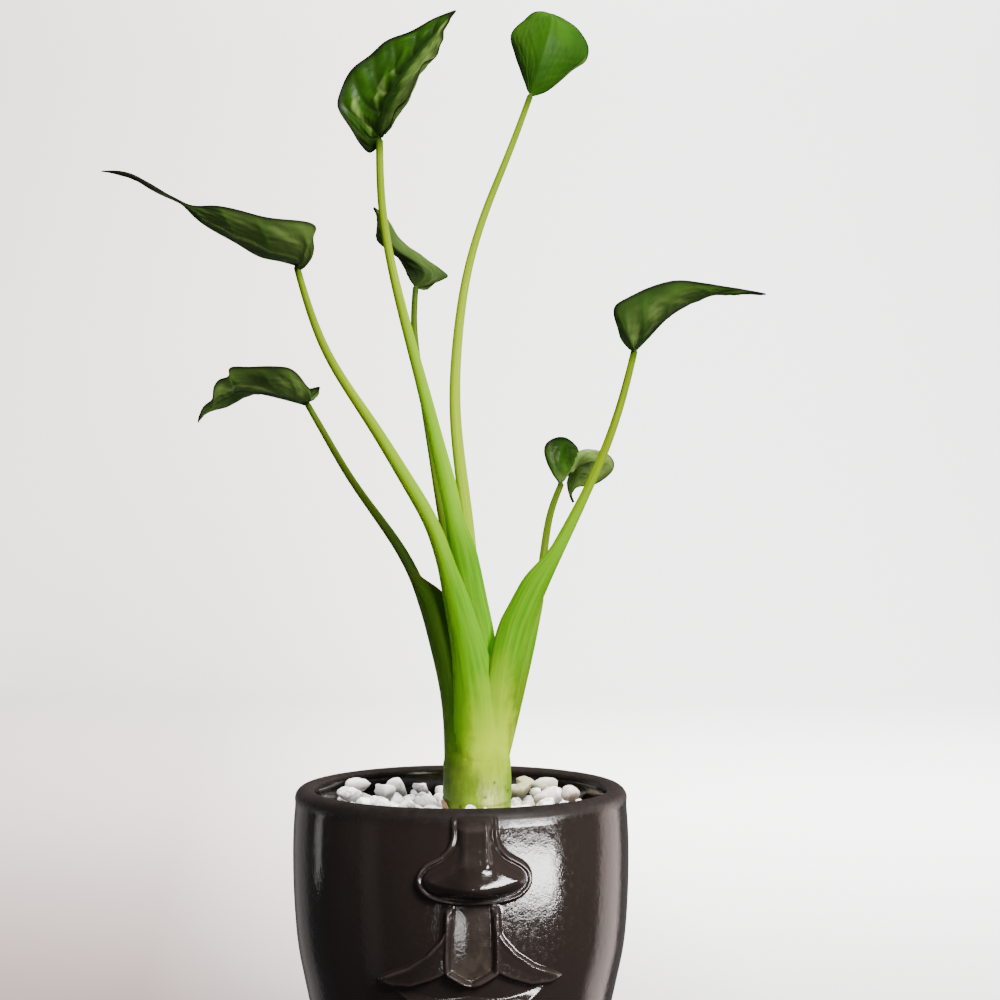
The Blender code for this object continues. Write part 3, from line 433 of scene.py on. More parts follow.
def makePot():
    profile = potWall()
    azimuth, half = math.radians(pot["azimuth"]), math.radians(pot["halfArc"])
    front = np.linspace(-half, half, pot["columns"][0], endpoint=False)
    back = np.linspace(half, 2.0 * math.pi - half, pot["columns"][1], endpoint=False)
    turn = np.concatenate([front, back])
    radius, height = profile[:, :1], profile[:, 1:]
    relief, band = np.zeros((2, len(profile), len(turn)))
    belowRim = np.arange(len(profile)) < np.argmax(height) - 6
    rows = np.where(belowRim & (height[:, 0] >= pot["lowest"]))[0]
    across, tall = np.meshgrid(front * potSize["radius"], height[rows, 0])
    window = np.ix_(rows, np.arange(len(front)))
    relief[window], band[window] = [values.reshape(across.shape)
                                    for values in faceHeight(across.ravel(), tall.ravel())]
    # hand-thrown unevenness, too small to see as a shape but enough to bend the reflections
    wave = smoothNoise(3, np.cos(turn)[None] * 1.6, np.sin(turn)[None] * 1.6, height / 26.0)
    out = radius + relief + pot["uneven"] * wave * (radius > 40.0) - pot["skin"]
    # crest: how far a spot stands above its surroundings, where a glaze runs thin; it is painted lighter
    # there, partly as a painted highlight
    soft = relief
    for _ in range(pot["crestSpread"]):
        soft = (soft + sum(np.roll(soft, step, axis) for axis in (0, 1) for step in (1, -1))) / 5.0
    crest = np.clip((relief - soft) / pot["crestTall"], 0.0, 1.0)
    points, faces, masks = cappedTube(
        aroundAxis(out, turn + azimuth, height), (0.0, 0.0, profile[0, 1]),
        (0.0, 0.0, potSize["floor"]), {"crest": crest, "band": band})
    place(makeMesh("glazedPot", points, faces, masks=masks), glazeMaterial(), "dark_glaze", "pot")


def glazeMaterial():
    w = Wiring("darkGlaze")
    across, depth, tall = w.sides()
    cloud = w.span(w.noise(20.0, 4.0, 0.55, stretch=(1.0, 1.0, 0.3)), 0.35, 0.65)
    body = w.mix(cloud, pot["glazeDark"], tuple(c * 2.0 for c in pot["glazeDark"]))
    speck = w.span(w.noise(620.0, 2.0, 0.6), 0.45, 0.75)  # small brown spots in the glaze
    body = w.mix(w.times(speck, 0.25), body, pot["glazeBrown"])
    # lighter on the crests: thin glaze, and partly a painted highlight
    thin = w.times(w.mask("crest"), w.span(w.noise(160.0, 3.0), 0.3, 0.7, (0.4, 1.0)))
    body = w.mix(thin, body, pot["edgeBrown"])
    worn = w.span(w.noise(210.0, 4.0, 0.6), 0.36, 0.64, (0.25, 1.0))
    # the groove is painted lighter, beige low down and brown higher up: partly its thin glaze, partly a
    # painted reflection
    lit = w.mix(w.span(tall, *pot["bandTall"]), pot["bandBeige"], pot["bandBrown"])
    body = w.mix(w.times(w.mask("band"), worn), body, lit)
    rim = w.plus(tall, w.span(w.noise(70.0, 3.0), 0.2, 0.8, (-0.9, 0.9)))
    # the matt rim stops at its inner edge
    radius = w.maths("SQRT", w.plus(w.maths("POWER", across, 2.0), w.maths("POWER", depth, 2.0)))
    rim = w.times(w.span(rim, *pot["mattTall"]), w.span(radius, *pot["mattRadius"]))
    rimLight = tuple(c * 1.5 for c in pot["rimBrown"])
    matt = w.mix(w.span(w.noise(330.0, 4.0, 0.6), 0.35, 0.65), pot["rimBrown"], rimLight)
    # inside the pot the colour is painted darker, as painted shade
    paintedShadeInside = w.times(w.span(radius, *pot["darkRadius"]), w.span(tall, *pot["darkTall"]))
    body = w.mix(paintedShadeInside, body, pot["inside"])
    rough = w.plus(w.span(rim, 0.0, 1.0, (0.09, 0.50)), w.times(speck, 0.13))
    w.set(colour=w.mix(rim, body, matt), rough=rough, level=0.16)
    peel = w.plus(w.noise(380.0, 2.0, 0.5), w.times(w.noise(1500.0, 2.0, 0.6), 0.55))
    w.bump(peel, 0.11, 0.65)
    return w.material


# Soil and gravel: loose stones settled on the soil inside the pot, round the stem

gravel = {
    # how many stones, their half sizes, and how many of them are smaller, and by how much
    "stones": 215, "seed": 37, "halfSizes": (2.9, 5.0), "small": (40, 0.72),
    # settling: rounds, fall in each, share of an overlap pushed away, and how near two stones come
    "rounds": 260, "fall": 0.22, "push": 0.38, "touch": 0.90,
    "floor": 104.2, "innerRadius": 51.9, "wallGap": 0.3,
    # a stone: flat cuts and their depths, its length and height for a width of about 1, and its lean
    "cuts": 11, "cutDepth": (0.50, 0.88), "long": (1.12, 1.36), "tall": (0.70, 0.88), "lean": 0.5,
    # share of dark stones, share of dark and greyish ones, and how grey each kind is
    "darkShare": 0.07, "greyShare": 0.2, "dark": 0.85, "greyish": (0.25, 0.5), "whitish": (0.0, 0.12),
    "white": (0.97, 0.96, 0.93), "veil": (0.62, 0.59, 0.54), "stain": (0.48, 0.41, 0.31),
    "grey": (0.34, 0.34, 0.35), "slate": (0.16, 0.16, 0.17), "green": (0.30, 0.30, 0.085),
    "pink": (0.52, 0.32, 0.27), "dustAndShade": (0.030, 0.026, 0.022), "crack": (0.16, 0.15, 0.14),
}


def settleStones():
    # balls that fall a little, push each other apart, and stay off the wall, the stem and the floor
    rng = np.random.default_rng(gravel["seed"])
    count = gravel["stones"]
    half = rng.uniform(*gravel["halfSizes"], count)
    few, smaller = gravel["small"]
    half[:few] *= smaller
    turn = rng.uniform(0.0, 2.0 * math.pi, count)
    reach = 50.0 * np.sqrt(rng.uniform(0.08, 1.0, count))
    tall = gravel["floor"] + rng.uniform(3.0, 22.0, count)
    spots = np.stack([reach * np.cos(turn), reach * np.sin(turn), tall], axis=1)
    centre = np.array(stemSize["centre"])
    for _ in range(gravel["rounds"]):
        spots[:, 2] -= gravel["fall"]
        gap = spots[:, None] - spots[None]
        far = np.linalg.norm(gap, axis=2) + np.eye(count) * 99.0  # no stone pushes itself
        overlap = np.clip((half[:, None] + half[None]) * gravel["touch"] - far, 0.0, None)
        spots += gravel["push"] * (gap / far[..., None] * overlap[..., None]).sum(axis=1)
        out = np.hypot(spots[:, 0], spots[:, 1])
        limit = gravel["innerRadius"] - gravel["wallGap"] - half * 0.92
        spots[:, :2] *= np.minimum(1.0, limit / np.maximum(out, 0.01))[:, None]
        away = spots[:, :2] - centre
        near = np.linalg.norm(away, axis=1)
        keep = stemSize["radius"] + half * 0.88
        spots[:, :2] = centre + away * np.maximum(1.0, keep / np.maximum(near, 0.01))[:, None]
        spots[:, 2] = np.maximum(spots[:, 2], gravel["floor"] + half * 0.66)
    return spots, half


def stoneShape(splits):
    # a ball of small triangles: an icosahedron, split
    shape = bmesh.new()
    bmesh.ops.create_icosphere(shape, subdivisions=splits, radius=1.0)
    points = np.array([v.co for v in shape.verts])
    faces = np.array([[v.index for v in f.verts] for f in shape.faces])
    shape.free()
    return points, faces


def makeGravel():
    # each stone is a ball cut flat by a few planes, made uneven, stretched, turned and tipped;
    # stones under others have fewer faces
    coarse, fine = stoneShape(2), stoneShape(3)
    spots, half = settleStones()
    buried = np.median(spots[:, 2])
    rng = np.random.default_rng(gravel["seed"] + 1)
    allPoints, allFaces, tones, tints, shades = [], [], [], [], []
    count = 0
    for spot, size in zip(spots, half):
        ball, faces = coarse if spot[2] < buried else fine
        allFaces.append(faces + count)
        count += len(ball)
        stone = ball.copy()
        for _ in range(gravel["cuts"]):
            way = unit(rng.normal(0.0, 1.0, 3))
            depth = rng.uniform(*gravel["cutDepth"])
            over = np.clip(stone @ way - depth, 0.0, None)
            stone -= over[:, None] * way
        stone *= 1.03 + 0.11 * smoothNoise(int(rng.integers(1e6)), *(ball.T * 1.3))[:, None]
        stone += 0.014 * smoothNoise(int(rng.integers(1e6)), *(ball.T * 4.5))[:, None] * ball
        stone *= (rng.uniform(*gravel["long"]), 0.98, rng.uniform(*gravel["tall"]))
        lean = rng.uniform(-gravel["lean"], gravel["lean"], 2)
        turn = rng.uniform(0.0, 2.0 * math.pi)
        flat = np.array([[math.cos(turn), -math.sin(turn), 0.0], [math.sin(turn), math.cos(turn), 0.0],
                         [0.0, 0.0, 1.0]])
        tip = np.array([[1.0, 0.0, lean[0]], [0.0, 1.0, lean[1]], [-lean[0], -lean[1], 1.0]])
        stone = stone @ flat.T @ unit(tip).T
        allPoints.append(spot + stone * size)
        # painted shade with some dust: darker towards each stone's underside
        shades.append(smoothStep((0.50 - stone[:, 2]) / 0.75))
        kind = rng.uniform()
        tone, tint = gravel["dark"], 0.0
        if kind >= gravel["darkShare"]:
            tone = rng.uniform(*gravel["greyish" if kind < gravel["greyShare"] else "whitish"])
        # some stones behind the stem's right side are green or pink
        behindRight = spot[0] > 15.0 and spot[1] > 0.0 and spot[2] > buried
        if behindRight and kind > 0.45:
            tint = 0.5 + rng.uniform(0.0, 0.4)
        tones.append(np.full(len(ball), tone))
        tints.append(np.full(len(ball), tint))
    points = np.concatenate(allPoints)
    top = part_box("gravel")[1][2] / mm
    points[:, 2] = np.minimum(points[:, 2], top - 0.1)
    piece = makeMesh("gravelStones", points, [np.concatenate(allFaces)],
                     masks={"tone": np.concatenate(tones), "tint": np.concatenate(tints),
                            "dustAndShade": np.concatenate(shades)})
    place(piece, stoneMaterial(), "white_gravel", "gravel")


def stoneMaterial():
    w = Wiring("gravelStone")
    grain = w.span(w.noise(260.0, 5.0, 0.62), 0.3, 0.7)
    white = w.mix(w.times(grain, 0.30), gravel["white"], gravel["veil"])
    stain = w.span(w.noise(95.0, 3.0), 0.56, 0.72, (0.0, 0.5))
    white = w.mix(stain, white, gravel["stain"])
    # thin grey veins and cracks where a slow noise crosses its middle
    crack = w.band(w.noise(230.0, 5.0, 0.65), 0.5, 0.07)
    crack = w.times(crack, w.span(w.noise(90.0, 2.0), 0.42, 0.56))
    white = w.mix(w.times(crack, 0.75), white, gravel["crack"])
    colour = w.mix(w.mask("tone"), white, w.mix(grain, gravel["grey"], gravel["slate"]))
    tint = w.mix(w.span(w.noise(18.0, 1.0), 0.46, 0.54), gravel["green"], gravel["pink"])
    colour = w.mix(w.mask("tint"), colour, tint)
    # painted shade with some dust, darkest on each stone's underside
    colour = w.mix(w.times(w.mask("dustAndShade"), 0.85), colour, gravel["dustAndShade"])
    w.set(colour=colour, rough=w.span(grain, 0.0, 1.0, (0.62, 0.86)), level=0.35)
    w.bump(w.plus(grain, w.times(w.noise(900.0, 3.0, 0.6), 0.4)), 0.22, 0.6)
    return w.material


soilLook = {"dark": (0.014, 0.009, 0.006), "light": (0.075, 0.048, 0.030), "chips": (0.12, 0.085, 0.055)}


def dressSoil():
    # the packed soil keeps its shape and gets a crumbly skin
    w = Wiring("pottingSoil")
    crumb = w.span(w.noise(420.0, 6.0, 0.7), 0.35, 0.65)
    chips = w.span(w.cells(300.0), 0.05, 0.5)
    colour = w.mix(crumb, soilLook["dark"], soilLook["light"])
    colour = w.mix(w.times(chips, 0.35), colour, soilLook["chips"])
    w.set(colour=colour, rough=w.span(crumb, 0.0, 1.0, (0.82, 0.97)), level=0.2)
    w.bump(crumb, 0.8, 0.8)
    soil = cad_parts["soil"]
    soil.data.materials.clear()
    soil.data.materials.append(w.material)


# Stem: the thick trunk, with the scars of old leaves round it

stem = {
    # skin: how far the trunk stays back from its size
    "rows": 150, "columns": 128, "skin": 0.25, "scarDeep": 0.28, "scarHalfWidth": 0.55,
    # where the colours lie: the middle and reach of the pale streak, a painted highlight, and the places
    # across or up between which each of the others sets in; the green and olive on the left and the dark
    # edges are painted shade
    "paleAt": (11.0, 5.6), "highlightTall": (128.0, 118.0), "yellowTall": (122.0, 132.0),
    "yellowAcross": (-0.5, 4.5), "leftShadeTall": (126.0, 136.0), "leftShadeAcross": (5.0, -1.5),
    "rightEdgeShade": (16.0, 20.0), "leftEdgeShade": (-1.8, -5.5),
    "lime": (0.26, 0.44, 0.010), "yellow": (0.66, 0.92, 0.010), "pale": (1.0, 1.0, 0.34),
    "olive": (0.090, 0.15, 0.016), "green": (0.11, 0.32, 0.003), "edge": (0.040, 0.085, 0.006),
    "scar": (0.10, 0.13, 0.015), "speck": (0.012, 0.014, 0.003),
    # leaf scars: height at the front, how far the ring dips towards the back, and the front's azimuth
    "scars": [(113.2, 4.0, 20.0), (109.0, -2.0, 200.0)],
    # dark specks: azimuth and height
    "specks": [(14.0, 116.4), (31.0, 121.3), (-28.0, 113.0), (64.0, 118.0)],
}


def makeStem():
    # the side turned round the stem's axis, with soft lumps, fine ribs above and a dip at each scar
    side = np.array([(stemSize["bottom"], 0.0), *stemSize["side"], (stemSize["top"], 0.0)])
    side[:, 1] *= stemSize["radius"]
    line, _ = splineThrough(side, np.linspace(0.0, 1.0, stem["rows"]) * chordLength(side))
    turn = np.linspace(-math.pi, math.pi, stem["columns"], endpoint=False)
    tall, radius = line[:, :1], line[:, 1:]
    lumps = smoothNoise(21, np.cos(turn)[None] * 0.8, np.sin(turn)[None] * 0.8, tall / 16.0)
    lumps = lumps * (0.30 - 0.18 * smoothStep((tall - 112.0) / 6.0))
    ribs = 0.05 * np.sin(turn * 46.0 + 2.0 * np.sin(tall / 5.0)) * smoothStep((tall - 106.0) / 6.0)
    ring = np.zeros((len(tall), len(turn)))
    for front, dip, azimuth in stem["scars"]:
        away = (1.0 - np.cos(turn - math.radians(azimuth))) / 2.0
        ring = np.maximum(ring, bell((tall - front - dip * away) / stem["scarHalfWidth"]))
    out = radius - stem["skin"] + lumps * (radius > 6.0) + ribs - stem["scarDeep"] * ring
    out = np.maximum(out, 0.02)
    speck = np.zeros_like(out)
    for azimuth, height in stem["specks"]:
        across = (turn - math.radians(azimuth)) * stemSize["radius"]
        speck = np.maximum(speck, bell(np.hypot(across[None], tall - height) / 0.55))
    centre = stemSize["centre"]
    points, faces, masks = cappedTube(
        aroundAxis(out, turn, tall, centre), (*centre, side[0, 0]), (*centre, side[-1, 0]),
        {"ring": ring, "speck": speck})
    place(makeMesh("stemTrunk", points, faces, masks=masks), stemMaterial(), "stem_green", "stem")


def trunkColour(w):
    # the trunk and the feet of the sheaths share one skin: lime with an olive net and yellow above, a pale
    # streak right of the middle that is a painted highlight, painted shade on the left, green above and
    # olive below, and painted shade darkening both edges
    across, _, tall = w.sides()
    blotch = w.span(w.noise(75.0, 4.0, 0.55, stretch=(1.0, 1.0, 0.6)), 0.35, 0.68)
    net = w.span(w.noise(430.0, 3.0, 0.6, stretch=(1.0, 1.0, 0.45)), 0.42, 0.62)
    rough = w.span(w.noise(210.0, 3.0, 0.6), 0.35, 0.65, (-1.1, 1.1))
    across = w.plus(w.plus(across, rough), w.span(blotch, 0.0, 1.0, (-0.8, 0.8)))
    high = w.plus(tall, w.span(blotch, 0.0, 1.0, (-3.0, 3.0)))
    body = w.mix(w.times(net, 0.45), stem["lime"], stem["olive"])
    # painted highlight: a pale streak right of the middle
    streak = w.times(w.band(across, *stem["paleAt"]), w.span(high, *stem["highlightTall"], (0.0, 0.8)))
    body = w.mix(w.times(streak, w.span(net, 0.0, 1.0, (1.0, 0.45))), body, stem["pale"])
    yellow = w.times(w.span(high, *stem["yellowTall"]), w.span(across, *stem["yellowAcross"]))
    body = w.mix(w.times(yellow, 0.85), body, stem["yellow"])
    # painted shade on the left side: olive below, green above
    left = w.mix(w.span(high, *stem["leftShadeTall"]), stem["olive"], stem["green"])
    body = w.mix(w.span(across, *stem["leftShadeAcross"], (0.0, 0.9)), body, left)
    # painted shade darkening both edges
    body = w.mix(w.span(across, *stem["rightEdgeShade"], (0.0, 0.7)), body, stem["edge"])
    body = w.mix(w.span(across, *stem["leftEdgeShade"], (0.0, 0.9)), body, stem["edge"])
    return body, net, blotch


def stemMaterial():
    w = Wiring("stemSkin")
    body, net, blotch = trunkColour(w)
    body = w.mix(w.times(w.mask("ring"), 0.55), body, stem["scar"])
    body = w.mix(w.mask("speck"), body, stem["speck"])
    w.set(colour=body, rough=w.span(blotch, 0.0, 1.0, (0.40, 0.55)), level=0.08)
    w.bump(w.plus(net, w.times(w.noise(800.0, 3.0), 0.5)), 0.10, 0.5)
    return w.material


dryScale = {
    # azimuth of its middle, half its turn round the stem, height of its foot, and its size
    "azimuth": -62.0, "halfTurn": 0.22, "foot": 108.6, "tall": 6.0, "thick": 0.35,
    "rows": 22, "columns": 15, "brown": (0.16, 0.075, 0.03), "straw": (0.42, 0.26, 0.13),
}


def makeDryScale():
    # the torn foot of an old sheath: a small flake against the stem's left side, narrower towards
    # its top, where it curls away and its edge is ragged
    rows, columns = dryScale["rows"], dryScale["columns"]
    over, down = np.meshgrid(np.linspace(-1.0, 1.0, columns), np.linspace(0.0, 1.0, rows))
    turn = math.radians(dryScale["azimuth"]) + over * dryScale["halfTurn"] * (1.0 - 0.45 * down)
    out = stemSize["radius"] + 0.25 + 1.1 * down ** 2 + 0.35 * smoothNoise(5, down * 2.0, over * 1.5)
    tall = dryScale["foot"] + dryScale["tall"] * down
    tall = tall - 1.2 * over ** 2 * down + 0.5 * np.sin(over * 9.0) * down
    points = np.concatenate([aroundAxis(out - inward, turn, tall, stemSize["centre"]).reshape(-1, 3)
                             for inward in (0.0, dryScale["thick"])])
    piece = makeMesh("dryScale", points, shellFaces(rows, columns))
    w = Wiring("drySheath")
    fibre = w.span(w.noise(500.0, 4.0, 0.6, stretch=(1.0, 1.0, 0.2)), 0.3, 0.7)
    colour = w.mix(fibre, dryScale["brown"], dryScale["straw"])
    w.set(colour=colour, rough=w.span(fibre, 0.0, 1.0, (0.6, 0.85)), level=0.5)
    w.bump(fibre, 0.2, 0.6)
    place(piece, w.material, "stem_green")


def shellFaces(rows, columns):
    # a sheet's front, its back with the order turned round, and the rim between them
    count = rows * columns
    front = gridQuads(rows, columns)
    back = front[:, ::-1] + count
    number = np.arange(count).reshape(rows, columns)
    edge = np.concatenate([number[0], number[1:, -1], number[-1, -2::-1], number[-2:0:-1, 0]])
    after = np.roll(edge, -1)
    rim = np.stack([after, edge, edge + count, after + count], axis=1)
    return [front, back, rim]


# Petioles: round stalks that open downwards to sheaths, each wrapped round the ones inside it

# path: points from the blade down; across: share of the path and thickness; facing: azimuth that
# its outer side looks to; sheath: shares between which it opens; wrap and reach: share, and the
# radius and half angle in degrees of its crescent
petioleShapes = {
    "e": {
        "path": [(-17.2, 24, 299.8), (-17.8, 22, 286.4), (-15.8, 17, 267.6), (-11.5, 10, 241.8),
                 (-6.3, 4, 212.8), (-1.1, 0, 184.2), (2.5, -3, 141.2)],
        "across": [(0, 2.2), (0.4, 3.0), (0.7, 5.0), (1, 6.5)],
        "facing": 170.0, "sheath": (2.0, 3.0), "wrap": [(0, 3), (1, 4)], "reach": [(0, 60), (1, 60)]},
    "b": {
        "path": [(25.6, 22, 370.6), (17.6, 19, 348.6), (9.5, 15, 327.8), (2.7, 11, 305.4),
                 (-1.4, 6, 277.8), (-2.2, 2, 252.3), (-0.2, -1, 230.7), (2.8, -3, 205.7),
                 (4.8, -5, 177.3), (6.4, -5, 141.1)],
        "across": [(0, 2.2), (0.3, 3.0), (0.5, 4.0), (0.75, 4.9), (1, 7.0)],
        "facing": 30.0, "sheath": (2.0, 3.0), "wrap": [(0, 3), (1, 4)], "reach": [(0, 60), (1, 60)]},
    "a": {
        "path": [(-28.9, -6, 349.2), (-28.0, -6, 324.7), (-20.8, -7, 287.4), (-12.3, -8, 255.4),
                 (-6.9, -9, 234.1), (-2.8, -10, 216.5), (0.4, -11, 195.3), (3.4, -11.5, 174.2),
                 (4.4, -11.5, 141.5)],
        "across": [(0, 2.6), (0.2, 3.1), (0.4, 4.1), (0.5, 5.0), (0.6, 6.4), (0.68, 6.6), (0.8, 4.4),
                   (1, 3.0)],
        "facing": -32.0, "sheath": (0.62, 0.72),
        "wrap": [(0.6, 3.0), (0.72, 4.2), (0.85, 5.4), (1, 6.0)],
        "reach": [(0.6, 70), (0.75, 98), (1, 110)]},
    "g": {
        "path": [(36.9, 26, 226.7), (32.7, 23, 215.6), (30.5, 20, 204.2), (27.5, 12, 183.6),
                 (22.4, 4, 158.8), (15.4, -4.5, 128.3)],
        "across": [(0, 2.3), (0.3, 3.0), (0.45, 4.6), (0.7, 4.0), (1, 2.6)],
        "facing": 110.0, "sheath": (0.4, 0.6),
        "wrap": [(0.3, 3.0), (0.5, 4.5), (0.75, 7.0), (1, 10.2)],
        "reach": [(0.3, 50), (0.6, 60), (1, 62)]},
    "c": {
        "path": [(-56.8, -24, 302.0), (-46.3, -21, 271.4), (-31.5, -18, 247.6), (-17.9, -16, 225.6),
                 (-9.9, -16, 211.2), (-4.5, -16.5, 195.8), (-0.1, -17.0, 180.1), (3.4, -17.8, 164.5),
                 (5.6, -18.2, 148.4), (6.2, -18.6, 129.4)],
        "across": [(0, 2.3), (0.25, 3.4), (0.5, 5.2), (0.66, 5.6), (0.8, 4.0), (1, 2.6)],
        "facing": -2.0, "sheath": (0.5, 0.7),
        "wrap": [(0.45, 2.6), (0.63, 3.4), (0.78, 6.0), (0.88, 8.0), (1, 10.3)],
        "reach": [(0.45, 50), (0.65, 62), (0.85, 68), (1, 66)]},
    "f": {
        "path": [(60.8, -22, 272.8), (56.1, -20, 254.1), (48.8, -17, 233.3), (40.8, -14, 215.8),
                 (31.8, -13, 198.2), (23.8, -14, 181.3), (18.9, -15, 163.7), (16.0, -15, 147.9),
                 (14.2, -14.6, 127.4)],
        "across": [(0, 2.4), (0.35, 3.3), (0.5, 5.0), (0.65, 5.2), (0.8, 3.8), (1, 2.6)],
        "facing": 48.0, "sheath": (0.44, 0.60),
        "wrap": [(0.4, 3.0), (0.55, 4.4), (0.75, 7.0), (0.88, 8.8), (1, 10.4)],
        "reach": [(0.38, 58), (0.5, 72), (0.68, 82), (0.8, 66), (0.88, 46), (1, 42)]},
    "d": {
        "path": [(-55.7, 2, 255.2), (-48.8, 1, 243.3), (-39.8, 0, 228.2), (-28.9, -2, 212.9),
                 (-20.8, -4, 201.1), (-13.1, -6, 184.5), (-8.9, -7, 168.6), (-5.3, -8, 149.2),
                 (-4.4, -9, 129.4)],
        "across": [(0, 2.2), (0.3, 2.9), (0.45, 3.8), (0.6, 4.6), (0.8, 3.6), (1, 2.6)],
        "facing": -80.0, "sheath": (0.50, 0.60),
        "wrap": [(0.45, 3.4), (0.6, 6.0), (0.75, 7.6), (1, 10.3)],
        "reach": [(0.48, 60), (0.62, 100), (1, 70)]},
}
petioleLook = {
    # dome: share of the path over which the stalk's top is rounded; edges: how thick a sheath's edge is
    "rows": 120, "sides": 32, "dome": 0.008, "sheathEdge": 0.7, "edges": {"c": 1.3}, "sheathTaper": 1.3,
    "stalk": (0.38, 0.60, 0.010), "lit": (0.76, 1.0, 0.014), "node": (0.045, 0.11, 0.008),
    "stalkTop": (0.055, 0.115, 0.008), "sheath": (0.12, 0.44, 0.001), "bright": (0.37, 0.80, 0.003),
    "line": (0.075, 0.26, 0.002), "shade": (0.036, 0.085, 0.012), "shadeLit": (0.075, 0.14, 0.022),
    "edge": (0.13, 0.14, 0.025), "rust": (0.16, 0.08, 0.02),
    # feet of the sheaths: how far each goes on down the trunk, the height where its border is lowest,
    # how far that rises to the sides, and how far the foot stands out over its neighbours
    "feet": {"c": (2.0, 130.0, 15.0, 0.45), "d": (4.5, 126.5, 9.0, 0.0), "f": (4.0, 127.5, 10.0, 0.0),
             "g": (4.0, 127.0, 9.0, 0.0)},
    "footRows": 14, "footShare": 0.08,
    # shares of the path over which the dark top and the dark node under the blade fade, and the
    # heights between which a sheath takes the trunk's colours
    "topFade": (0.02, 0.45), "nodeFade": (0.035, 0.010), "trunkTall": (162.0, 130.0),
    # how much painted shade each one takes: at the top of the stalk, at the stalk's foot and on the sheath
    "dark": {"a": (0.0, 0.0, 0.12), "b": (0.05, 0.05, 0.2), "c": (0.1, 0.1, 0.0), "d": (0.6, 0.98, 0.86),
             "e": (0.75, 0.75, 0.5), "f": (0.0, 0.0, 0.05), "g": (0.55, 0.55, 0.25)},
    # how green each stalk turns towards its foot
    "young": {"a": 0.62, "c": 0.45, "f": 0.72, "g": 0.4}, "youngGreen": (0.16, 0.58, 0.002),
}


def petioleSurface(key, shape):
    # a cross-section carried along the path, from a round stalk to a crescent that wraps the stem's
    # axis; the crescent is thickest in its middle and thins to its edges
    rows, sides = petioleLook["rows"], petioleLook["sides"]
    share = np.linspace(0.0, 1.0, rows)
    centre, along = splineThrough(shape["path"], share * chordLength(shape["path"]))
    along = unit(along)
    facing = math.radians(shape["facing"])
    back = np.tile([math.sin(facing), -math.cos(facing), 0.0], (rows, 1))
    back = unit(back - along * np.sum(back * along, axis=1, keepdims=True))
    side = np.cross(along, back)
    dome = np.sqrt(np.clip(1.0 - np.clip(1.0 - share / petioleLook["dome"], 0.0, 1.0) ** 2, 0.02, 1.0))
    thick = (readAt(shape["across"], share) * dome)[:, None]
    wrap = readAt(shape["wrap"], share)[:, None]
    reach = np.radians(readAt(shape["reach"], share))[:, None]
    first, last = shape["sheath"]
    opened = smoothStep((share - first) / (last - first))[:, None]
    turn = (np.arange(sides) + 0.5) / sides * 2.0 * math.pi - math.pi
    outer = np.abs(turn) <= math.pi / 2
    q = np.where(outer, turn, np.sign(turn) * (math.pi - np.abs(turn)))
    q = q / np.abs(q).max()
    q = np.sign(q) * (1.0 - (1.0 - np.abs(q)) ** 1.25)
    edge = petioleLook["edges"].get(key, petioleLook["sheathEdge"])
    wall = (thick - edge) * np.cos(q * math.pi / 2) ** petioleLook["sheathTaper"] + edge
    # fine lengthwise ribs on the sheath, and edges that run a little unevenly
    ripple = 0.10 * np.sin(q * 23.0 + 1.5 * np.sin(share[:, None] * 9.0)) * opened * (1.0 - np.abs(q))
    bend = wrap + np.where(outer, 0.5, -0.5) * wall + ripple
    wave = 1.0 + 0.035 * np.sin(share[:, None] * 37.0) * np.abs(q) ** 3
    around = q * reach * wave
    out = thick / 2 * np.cos(turn) * (1.0 - opened) + (bend * np.cos(around) - wrap) * opened
    across = thick / 2 * np.sin(turn) * (1.0 - opened) + bend * np.sin(around) * opened
    points = centre[:, None] + back[:, None] * out[..., None] + side[:, None] * across[..., None]
    return points, share, turn, q, opened


def addFoot(points, share, turn, q, opened, foot):
    # the end of a sheath goes on down the trunk: its outer wall slides onto the trunk's skin and its
    # inner wall sinks under it; the border is a U, since the sides sink first
    drop, lowest, rise, proud = foot
    rows = petioleLook["footRows"]
    outer = np.abs(turn) <= math.pi / 2
    down = (np.arange(rows)[:, None] + 1.0) / rows
    off = points[-1, :, :2] - stemSize["centre"]
    radius = np.linalg.norm(off, axis=1)
    tall = points[-1, :, 2] - down * drop
    skin = readAt(stemSize["side"], tall) * stemSize["radius"] - stem["skin"]
    target = skin + np.where(outer, 0.30 - proud * 0.6, -0.5)
    out = radius + (target - radius) * smoothStep(down / 0.8)
    level = stemSize["centre"] + (off / radius[:, None]) * out[..., None]
    points = np.concatenate([points, np.concatenate([level, tall[..., None]], axis=-1)])
    share = np.concatenate([share, 1.0 + down[:, 0] * petioleLook["footShare"]])
    opened = np.concatenate([opened, np.ones((rows, 1))])
    off = points[..., :2] - stemSize["centre"]
    radius = np.linalg.norm(off, axis=2)
    wave = 0.8 * np.sin(q * 5.0 + drop) + 0.4 * np.sin(q * 13.0)
    sink = 0.9 * smoothStep((lowest + rise * q ** 2 + wave * 0.5 - points[..., 2]) / 3.5)
    stand = proud * smoothStep((172.0 - points[..., 2]) / 26.0) * (share > 0.5)[:, None]
    points[..., :2] += off / radius[..., None] * (stand - sink)[..., None]
    return points, share, opened


